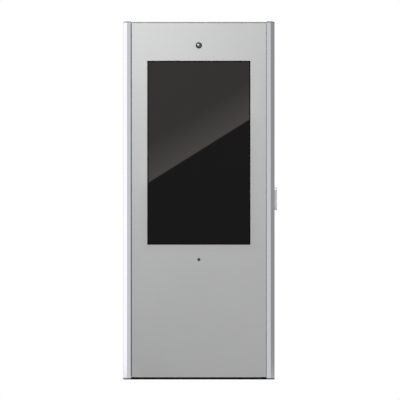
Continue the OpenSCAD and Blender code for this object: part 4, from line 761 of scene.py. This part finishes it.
def fan_blade(group, size):
    """One blade as a thin solid: twisted, cambered, and swept round towards its tip."""
    sheet = put(group, "GeometryNodeMeshGrid", {
        "Size X": 1.0, "Size Y": 1.0, "Vertices X": 12, "Vertices Y": 9,
    }).outputs["Mesh"]
    at = position(group)
    along, across = calc(group, "ADD", at["X"], 0.5), at["Y"]
    root_share, root_chord, chord_gain = 0.97, 0.8, 0.25
    span = calc(group, "SUBTRACT", size["Tip Radius"], size["Hub Radius"])
    root = calc(group, "MULTIPLY", size["Hub Radius"], root_share)
    radius = calc(group, "ADD", calc(group, "MULTIPLY", along, span), root)
    twist = calc(group, "SUBTRACT", size["Tip Pitch"], size["Root Pitch"])
    pitch = calc(group, "ADD", size["Root Pitch"], calc(group, "MULTIPLY", along, twist))
    widening = calc(group, "ADD", root_chord, calc(group, "MULTIPLY", along, chord_gain))
    reach = calc(group, "MULTIPLY", across, calc(group, "MULTIPLY", size["Chord"], widening))
    sweep = calc(group, "MULTIPLY", calc(group, "MULTIPLY", along, along), size["Sweep"])
    sideways = calc(group, "MULTIPLY", reach, calc(group, "COSINE", pitch))
    around = calc(group, "ADD", calc(group, "DIVIDE", sideways, radius), sweep)
    from_middle = calc(group, "MULTIPLY", across, 2.0)
    arch = calc(group, "SUBTRACT", 1.0, calc(group, "MULTIPLY", from_middle, from_middle))
    bow = calc(group, "MULTIPLY", arch, size["Camber"])
    rise = calc(group, "ADD", calc(group, "MULTIPLY", reach, calc(group, "SINE", pitch)), bow)
    there = vector(
        group, X=calc(group, "MULTIPLY", radius, calc(group, "COSINE", around)),
        Y=calc(group, "MULTIPLY", radius, calc(group, "SINE", around)), Z=rise,
    )
    blade = put(group, "GeometryNodeSetPosition", {"Geometry": sheet, "Position": there}).outputs[0]
    thick = put(group, "GeometryNodeExtrudeMesh", {
        "Mesh": blade, "Offset Scale": size["Blade Thickness"], "Individual": False,
    }, mode="FACES").outputs["Mesh"]
    under = put(group, "GeometryNodeFlipFaces", {"Mesh": blade}).outputs[0]
    return put(group, "GeometryNodeMergeByDistance", {
        "Geometry": gathered(group, thick, under), "Distance": 1e-6,
    }).outputs[0]


def fan_hub(group, size):
    """A round hub with eased rims."""
    rim_share, ease = 0.95, 1.0 * MM
    hub = put(group, "GeometryNodeMeshCylinder", {
        "Vertices": 56, "Side Segments": 1, "Fill Segments": 4, "Radius": size["Hub Radius"],
        "Depth": size["Depth"],
    }, fill_type="TRIANGLE_FAN").outputs["Mesh"]
    at = position(group)
    share = calc(group, "DIVIDE", off_axis(group, at), size["Hub Radius"])
    rim = calc(group, "GREATER_THAN", share, rim_share)
    inwards = calc(group, "MULTIPLY", calc(group, "SIGN", at["Z"]), -ease)
    return lifted(group, hub, inwards, rim)


def rotor_tree(sizes):
    """A fan rotor: a hub with its ring of blades."""
    group, size, end = geometry_tree("fan_rotor", sizes)
    blades = spun(group, fan_blade(group, size), size["Blades"])
    return at_points(group, size, gathered(group, fan_hub(group, size), blades), end)


def fan_guards():
    """Wire guards on the inside of the door, screwed on at the fans' corners."""
    hole_offset = 52.5 * MM
    sizes = {
        "Wire Radius": 0.8 * MM, "Inner Radius": 14 * MM, "Outer Radius": 57 * MM, "Rings": 5,
        "Arm Length": hole_offset * math.sqrt(2.0), "Eye Radius": 3.2 * MM,
        "Material": FINISHES["screw_steel"],
    }
    y = centre("fan_guards").y
    axes = [axis_of("fan_left"), axis_of("fan_right")]
    sites = [(Vector((axis.x, y, axis.z)), BACKWARDS) for axis in axes]
    grown("wire_finger_guards", guard_tree(sizes), sizes, sites, ["fan_guards"])


def fan_rotors():
    """A moulded rotor in each fan, on its joint's axis."""
    low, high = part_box("fan_left_rotor")
    tip_gap = 0.2 * MM
    sizes = {
        "Hub Radius": 20 * MM, "Tip Radius": (high.z - low.z) / 2 - tip_gap, "Depth": 18 * MM, "Blades": 7,
        "Root Pitch": math.radians(44), "Tip Pitch": math.radians(26), "Chord": 24 * MM,
        "Camber": 2.2 * MM, "Sweep": 0.2, "Blade Thickness": 1.4 * MM,
        "Material": FINISHES["black_plastic"],
    }
    tree = rotor_tree(sizes)
    for fan in ("fan_left", "fan_right"):
        node, axis = fan + "_rotor", axis_of(fan)
        at = Vector((axis.x, centre(node).y, axis.z))
        grown(node + "_moulded", tree, sizes, [(at, BACKWARDS)], [node])


# Turned and formed pieces

def banded(bm, rows):
    """Faces between rows of corners that run round; a row of one corner is a pole."""
    for first, second in zip(rows, rows[1:]):
        for k in range(max(len(first), len(second))):
            ring = [first[k % len(first)], first[(k + 1) % len(first)]]
            ring += [second[(k + 1) % len(second)], second[k % len(second)]]
            bm.faces.new(list(dict.fromkeys(ring)))


def revolved(profile, middle, steps=64):
    """A closed shape turned about the Y axis; the profile is (radius, y) from pole to pole."""
    bm = bmesh.new()
    rows = []
    for radius, y in profile:
        angles = [FULL_TURN * k / steps for k in range(steps if radius else 1)]
        rows.append([
            bm.verts.new((middle.x + radius * math.cos(a), y, middle.z + radius * math.sin(a)))
            for a in angles
        ])
    banded(bm, rows)
    bmesh.ops.recalc_face_normals(bm, faces=bm.faces)
    shaded(bm)
    return bm


def camera_dome():
    """The camera's coated front element, domed within the bezel."""
    low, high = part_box("camera_lens")
    clearance, proud, sag, steps = 0.15 * MM, 0.3 * MM, 2.6 * MM, 12
    rim = (high.x - low.x) / 2 - clearance
    ball = (rim * rim + sag * sag) / (2 * sag)
    profile = []
    for k in range(steps + 1):
        radius = rim * k / steps
        profile.append((radius, low.y - proud + ball - math.sqrt(ball * ball - radius * radius)))
    profile.append((0.0, high.y))
    piece("domed_camera_lens", revolved(profile, centre("camera_lens")), ["camera_lens"])


def slab(bm, low, high, ease):
    """A box with all its edges rounded, added to a mesh."""
    made = bmesh.ops.create_cube(bm, size=1.0)["verts"]
    for vert in made:
        vert.co = Vector(low[k] + (vert.co[k] + 0.5) * (high[k] - low[k]) for k in range(3))
    edges = dict.fromkeys(edge for vert in made for edge in vert.link_edges)
    rounded(bm, list(edges), ease)


def gap_shade_strips():
    """Black strips in the gaps beside the panel, a dark sheet put where there is shade: full width on the
    left, where a painted shadow also laps onto the panel's edge, half width on the right.
    """
    low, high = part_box("front_panel")
    gap, thick, ease, lap, film = 3.0 * MM, 0.7 * MM, 0.15 * MM, 1.4 * MM, 0.02 * MM
    bottom, top = low.z + gap, high.z - gap
    bm = bmesh.new()
    for side, width in ((-1, gap - 2 * ease), (1, gap / 2)):
        near, far = sorted((side * (high.x + ease), side * (high.x + ease + width)))
        slab(bm, (near, high.y - thick, bottom), (far, high.y - film, top), ease)
    # Painted shadow: a black strip lapping onto the panel's left edge, where the column's shadow falls
    slab(bm, (low.x - ease, low.y - ease, bottom), (low.x + lap, low.y + thick, top), ease / 2)
    small_piece("panel_edge_tape", bm, "base_seals")


def tip_faces(node, least, most):
    """The middles of a node's small faces that look backwards, by their area in square millimetres."""
    bm = joined(node)
    found = [
        face.calc_center_median() for face in bm.faces
        if face.normal.y > 0.99 and least < face.calc_area() / (MM * MM) < most
    ]
    bm.free()
    return found


def inlet_pins():
    """Bright sleeves with rounded tips over the mains inlet's three pins."""
    half_x, half_z, ease = 1.08 * MM, 2.08 * MM, 0.45 * MM
    sunk, proud = 11.9 * MM, 0.5 * MM
    bm = bmesh.new()
    for tip in tip_faces("power_inlet", least=7.5, most=8.5):
        low = (tip.x - half_x, tip.y - sunk, tip.z - half_z)
        slab(bm, low, (tip.x + half_x, tip.y + proud, tip.z + half_z), ease)
    small_piece("inlet_pins", bm, "power_inlet", FINISHES["screw_steel"])


def contact_tree(sizes):
    """A row of sprung contact wires in a network socket."""
    group, size, end = geometry_tree("socket_contacts", sizes)
    lean_share = 0.45
    gaps = calc(group, "SUBTRACT", size["Count"], 1)
    start = calc(group, "MULTIPLY", size["Pitch"], calc(group, "MULTIPLY", gaps, -0.5))
    row = put(group, "GeometryNodeMeshLine", {
        "Count": size["Count"], "Start Location": vector(group, X=start),
        "Offset": vector(group, X=size["Pitch"]),
    }).outputs[0]
    lean = vector(group, Z=calc(group, "MULTIPLY", size["Length"], -lean_share))
    drop, back = (calc(group, "MULTIPLY", size[label], -1.0) for label in ("Drop", "Length"))
    curve = put(group, "GeometryNodeCurveQuadraticBezier", {
        "Resolution": 8, "Start": (0, 0, 0), "Middle": lean, "End": vector(group, Y=drop, Z=back),
    }).outputs[0]
    wires = copied(group, row, tube(group, curve, size["Wire Radius"], 6))
    return at_points(group, size, wires, end)


def socket_contacts():
    """Gilt contact wires under the roof of the network socket."""
    sizes = {
        "Count": 8, "Pitch": 1.02 * MM, "Length": 7.5 * MM, "Drop": 3.0 * MM, "Wire Radius": 0.2 * MM,
        "Material": brushed("gilt_contacts", (0.83, 0.6, 0.24), 0.24, (1, 1, 1)),
    }
    sink, rise = 2.0 * MM, 3.2 * MM
    middle, back = centre("data_socket"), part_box("data_socket")[1].y
    at = Vector((middle.x, back - sink, middle.z + rise))
    grown("socket_contacts", contact_tree(sizes), sizes, [(at, BACKWARDS)], [], "data_socket")


def socket_liner():
    """The black plastic inside of the network socket, open to the back."""
    middle, back = centre("data_socket"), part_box("data_socket")[1].y
    half_w, half_h, latch, latch_h = 6.0 * MM, 4.5 * MM, 3.0 * MM, 6.0 * MM
    outline = (
        (-half_w, half_h), (half_w, half_h), (half_w, -half_h), (latch, -half_h),
        (latch, -latch_h), (-latch, -latch_h), (-latch, -half_h), (-half_w, -half_h),
    )
    outside, inside = 0.04 * MM, 0.45 * MM
    mouth, floor_outside, floor_inside = 0.5 * MM, 12.9 * MM, 12.5 * MM
    section = ((outside, floor_outside), (outside, mouth), (inside, mouth), (inside, floor_inside))
    bm = bmesh.new()
    rows = []
    for inset, depth in section:
        corners = [(x - math.copysign(inset, x), z - math.copysign(inset, z)) for x, z in outline]
        rows.append([bm.verts.new((middle.x + x, back - depth, middle.z + z)) for x, z in corners])
    banded(bm, rows)
    bm.faces.new(rows[0])
    bm.faces.new(rows[-1])
    bmesh.ops.recalc_face_normals(bm, faces=bm.faces)
    small_piece("socket_liner", bm, "data_socket", FINISHES["black_plastic"])


def lock_shutters():
    """Two spring leaves down in the keyway of each lock, which turn with its barrel."""
    half_h, gap, leaf, ease = 2.9 * MM, 0.04 * MM, 0.7 * MM, 0.15 * MM
    sink, depth = 0.9 * MM, 3.95 * MM
    for lock in ("lock_upper", "lock_lower"):
        barrel = lock + "_barrel"
        x, _, z = axis_of(lock)
        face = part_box(barrel)[1].y
        bm = bmesh.new()
        for near, far in ((-leaf, -gap), (gap, leaf)):
            slab(bm, (x + near, face - depth, z - half_h), (x + far, face - sink, z + half_h), ease)
        small_piece(lock + "_shutter", bm, barrel, FINISHES["black_plastic"])


def raised(bm, face, outlines, sink, height):
    """A flat mark that stands out of a face; a second outline is the hole in the first."""
    normal = face.normal.normalized()
    across = Vector((1.0, 0.0, 0.0))
    along = normal.cross(across).normalized()
    middle = face.calc_center_median()
    rims = []
    for outline in outlines:
        flat = [middle + across * u + along * v for u, v in outline]
        low = [bm.verts.new(at - normal * sink) for at in flat]
        top = [bm.verts.new(at + normal * height) for at in flat]
        banded(bm, [low, top])
        rims.append((low, top))
    for loops in zip(*rims):
        if len(loops) == 1:
            bm.faces.new(loops[0])
        else:
            banded(bm, loops)


def switch_marks():
    """The usual line and circle, raised on the two halves of the rocker."""
    white = moulded("white_print", (0.75, 0.75, 0.75), 0.3 * MM, 0.4, 0.01 * MM)
    half_w, half_l, sink, height = 0.25 * MM, 1.85 * MM, 0.05 * MM, 0.12 * MM
    outer_r, inner_r, sides = 2.0 * MM, 1.5 * MM, 32
    line = [(-half_w, -half_l), (half_w, -half_l), (half_w, half_l), (-half_w, half_l)]
    turns = [FULL_TURN * k / sides for k in range(sides)]
    circle = [[(r * math.cos(a), r * math.sin(a)) for a in turns] for r in (outer_r, inner_r)]
    source = joined("rocker_switch")
    halves = sorted((f for f in source.faces if f.normal.y > 0.7), key=lambda f: -f.calc_area())[:2]
    halves.sort(key=lambda f: f.calc_center_median().z)
    bm = bmesh.new()
    for half, outlines in zip(halves, (circle, [line])):
        raised(bm, half, outlines, sink, height)
    source.free()
    bmesh.ops.recalc_face_normals(bm, faces=bm.faces)
    small_piece("switch_marks", bm, "rocker_switch", white)


# Camera, light and stage

# The photograph's side, the object's middle and its floor line in pixels, and the size of a pixel
PHOTO_SIDE = 400
MIDDLE_X = 198.839
FLOOR_Y = 379.523
PIXEL = 5.135 * MM


def photo_camera():
    """An exact front elevation, framed as the photograph is."""
    data = bpy.data.cameras.new("front_elevation")
    data.type = "ORTHO"
    data.ortho_scale = PHOTO_SIDE * PIXEL
    data.clip_end = 50.0
    obj = linked("front_elevation", data)
    obj.location = ((PHOTO_SIDE / 2 - MIDDLE_X) * PIXEL, -6.0, (FLOOR_Y - PHOTO_SIDE / 2) * PIXEL)
    obj.rotation_euler = (math.pi / 2, 0.0, 0.0)
    scene.camera = obj


def white_world(level):
    """White behind the object and in its reflections, and an even light on its surfaces."""
    world = bpy.data.worlds.new("white_room")
    world.use_nodes = True
    world.node_tree.nodes.clear()
    path = put(world, "ShaderNodeLightPath").outputs
    rays = path["Is Camera Ray"]
    for other in ("Is Glossy Ray", "Is Transmission Ray"):
        rays = calc(world, "MAXIMUM", rays, path[other])
    white = (1.0, 1.0, 1.0, 1.0)
    lit, seen = (
        put(world, "ShaderNodeBackground", {"Color": white, "Strength": strength}).outputs[0]
        for strength in (level, 1.0)
    )
    mix = put(world, "ShaderNodeMixShader", {0: rays, 1: lit, 2: seen}).outputs[0]
    put(world, "ShaderNodeOutputWorld", {"Surface": mix})
    scene.world = world


def lamp(name, at, aim, size, radiance, cone=180.0):
    """A square lamp that shows in no reflection: power from size and radiance, cone in degrees."""
    data = bpy.data.lights.new(name, "AREA")
    data.size = size
    data.energy = radiance * math.pi * size * size
    data.spread = math.radians(cone)
    obj = linked(name, data)
    obj.location = at
    obj.rotation_euler = (Vector(aim) - Vector(at)).to_track_quat("-Z", "Y").to_euler()
    obj.visible_glossy = False


def stage_sheet(name, corners, mat):
    """A flat sheet of the studio, which is no part of the object."""
    mesh = bpy.data.meshes.new(name)
    mesh.from_pydata(corners, [], [tuple(range(len(corners)))])
    mesh.materials.append(mat)
    obj = linked(name, mesh)
    return obj


def card(name, corners, mat):
    """A studio card that shows only in reflections."""
    obj = stage_sheet(name, corners, mat)
    obj.visible_camera = False
    obj.visible_diffuse = False
    obj.visible_shadow = False
    obj.visible_transmission = False
    return obj


def upright(start, end):
    """The corners of a standing card between two places on the ground plan."""
    bottom, top = -1.0, 4.0
    return [(*start, bottom), (*end, bottom), (*end, top), (*start, top)]


def glow(name, level):
    """A plain light-giving surface for a card."""
    mat = bpy.data.materials.new(name)
    mat.use_nodes = True
    mat.node_tree.nodes.clear()
    light = put(mat, "ShaderNodeEmission", {"Strength": level}).outputs[0]
    put(mat, "ShaderNodeOutputMaterial", {"Surface": light})
    return mat


def glare_sheet():
    """The window the screen mirrors: bright above a slanting edge, brightest along it, dim below."""
    slope, height, blur, fade_height = 0.625, 1.1734, 4 * MM, 200 * MM
    along_edge, above_all, below = 1.5, 0.8, 0.2
    mat = glow("window_glare", 1.0)
    light = mat.node_tree.nodes["Emission"].inputs
    light["Color"].default_value = (1.0, 0.93, 0.9, 1.0)
    at = put(mat, "ShaderNodeSeparateXYZ", {0: place(mat)}).outputs
    edge = calc(mat, "ADD", calc(mat, "MULTIPLY", at["X"], slope), height)
    above = calc(mat, "SUBTRACT", at["Z"], edge)
    fade = spread(mat, above, along_edge, above_all, 0.0, fade_height)
    upper = spread(mat, above, 0.0, 1.0, -blur, blur)
    mix = put(mat, "ShaderNodeMix", {0: upper, 2: below, 3: fade}, data_type="FLOAT")
    mat.node_tree.links.new(mix.outputs[0], light["Strength"])
    return mat


def window_card():
    """The mirrored window, a little in front of the glass."""
    low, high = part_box("touch_glass")
    y = -130 * MM
    card("window_card", [
        (low.x, y, low.z), (high.x, y, low.z), (high.x, y, high.z), (low.x, y, high.z),
    ], glare_sheet())


def rear_sheet():
    """Darker towards the floor, so that the metal at the back has some shading."""
    top, low_level, high_level = 2.4, 0.75, 1.1
    mat = glow("rear_glow", 1.0)
    height = put(mat, "ShaderNodeSeparateXYZ", {0: place(mat)}).outputs["Z"]
    fade = spread(mat, height, low_level, high_level, 0.0, top)
    mat.node_tree.links.new(fade, mat.node_tree.nodes["Emission"].inputs["Strength"])
    return mat


def side_cards():
    """A bright card on the left, a dim one on the right, and a grey flag behind each."""
    x, split, left_front, right_front, flag_x, flag_back = 1.3, 0.2, -1.0, -0.7, 0.6, 1.25
    card("left_card", upright((-x, left_front), (-x, split)), glow("left_glow", 1.74))
    card("right_card", upright((x, right_front), (x, split)), glow("right_glow", 0.47))
    grey = glow("flag_grey", 0.42)
    card("left_flag", upright((-x, split), (-flag_x, flag_back)), grey)
    card("right_flag", upright((x, split), (flag_x, flag_back)), grey)


def soft_box(name, node, lit_piece, reach, half_across, half_along, level):
    """An oval soft box at a distance from a node, which puts its light spot on one piece alone."""
    middle = centre(node) + Vector(reach)
    across = Vector(reach).cross(Vector(BACKWARDS)).normalized()
    along = Vector(reach).cross(across).normalized()
    sides, rim_level, bright_share = 32, 0.5, 0.6
    corners = []
    for k in range(sides):
        angle = FULL_TURN * k / sides
        sideways, upwards = half_across * math.cos(angle), half_along * math.sin(angle)
        corners.append(middle + across * sideways + along * upwards)
    mat = glow(name + "_glow", level)
    nodes, links = mat.node_tree.nodes, mat.node_tree.links
    far = distance(mat, middle)
    fade = spread(mat, far, level, rim_level, half_along * bright_share, max(half_across, half_along))
    links.new(fade, nodes["Emission"].inputs["Strength"])
    clear = put(mat, "ShaderNodeBsdfTransparent").outputs[0]
    both = put(mat, "ShaderNodeAddShader", {0: nodes["Emission"].outputs[0], 1: clear}).outputs[0]
    links.new(both, nodes["Material Output"].inputs["Surface"])
    lit = bpy.data.collections.new(name + "_lights")
    lit.objects.link(bpy.data.objects[lit_piece])
    card(name, corners, mat).light_linking.receiver_collection = lit


def floor():
    """A pale floor with the object's shadow that runs out to white; it sends little light back up."""
    pale, bounced, half, shadow_reach, white_from = (0.87,) * 3, (0.33,) * 3, 40.0, 0.7, 3.2
    mat = finish("pale_floor", pale, 0.8, Specular_IOR_Level=0.0)
    nodes = mat.node_tree.nodes
    path = put(mat, "ShaderNodeLightPath").outputs
    tone(mat, path["Is Diffuse Ray"], pale, bounced, 0.0, 1.0)
    far = distance(mat)
    fade = spread(mat, far, 0.0, 1.0, shadow_reach, white_from, interpolation_type="SMOOTHSTEP")
    seen = calc(mat, "MULTIPLY", fade, path["Is Camera Ray"])
    white = calc(mat, "MAXIMUM", seen, path["Is Glossy Ray"])
    light = put(mat, "ShaderNodeEmission").outputs[0]
    ground = nodes["Principled BSDF"].outputs[0]
    mix = put(mat, "ShaderNodeMixShader", {0: white, 1: ground, 2: light}).outputs[0]
    mat.node_tree.links.new(mix, nodes["Material Output"].inputs["Surface"])
    stage_sheet("floor", [(-half, -half, 0), (half, -half, 0), (half, half, 0), (-half, half, 0)], mat)


# The kiosk, piece by piece

for node_name, solid in frame["nodes"].items():
    clad(solid, FINISHES[SLOT_OF[node_name]])
for node_name, (edge_width, least_length) in SOFT_EDGES.items():
    softened(node_name, edge_width, least_length)
column_feet()
microphone_grille()
columns()
sloped_caps()
for node_name in ("cabinet_screws", "panel_screws", "door_screws", "small_screws"):
    screws(node_name)
for node_name in ("hinge_frame_screws", "hinge_door_screws"):
    screws(node_name, sunk=True)
fan_guards()
fan_rotors()
camera_dome()
gap_shade_strips()
inlet_pins()
socket_contacts()
socket_liner()
lock_shutters()
switch_marks()


# The studio

photo_camera()
white_world(0.965)
floor()
lamp("key", at=(-1.6, -2.3, 2.6), aim=(-0.35, -0.1, 1.95), size=0.5, radiance=12.8, cone=76.0)
lamp("overhead", at=(0.5, -0.3, 4.0), aim=(0.3, -0.1, 0.0), size=1.6, radiance=4.0)
side_cards()
card("rear_card", upright((-3.0, 1.3), (3.0, 1.3)), rear_sheet())
soft_box(
    "lens_card", "camera_lens", "domed_camera_lens", reach=(-0.105, -0.2, 0.095),
    half_across=0.17, half_along=0.12, level=7.5)
soft_box(
    "reader_card", "reader_cover", "reader_cover_finished", reach=(0.15, -0.9, 1.15),
    half_across=0.62, half_along=0.62, level=14.0)
window_card()
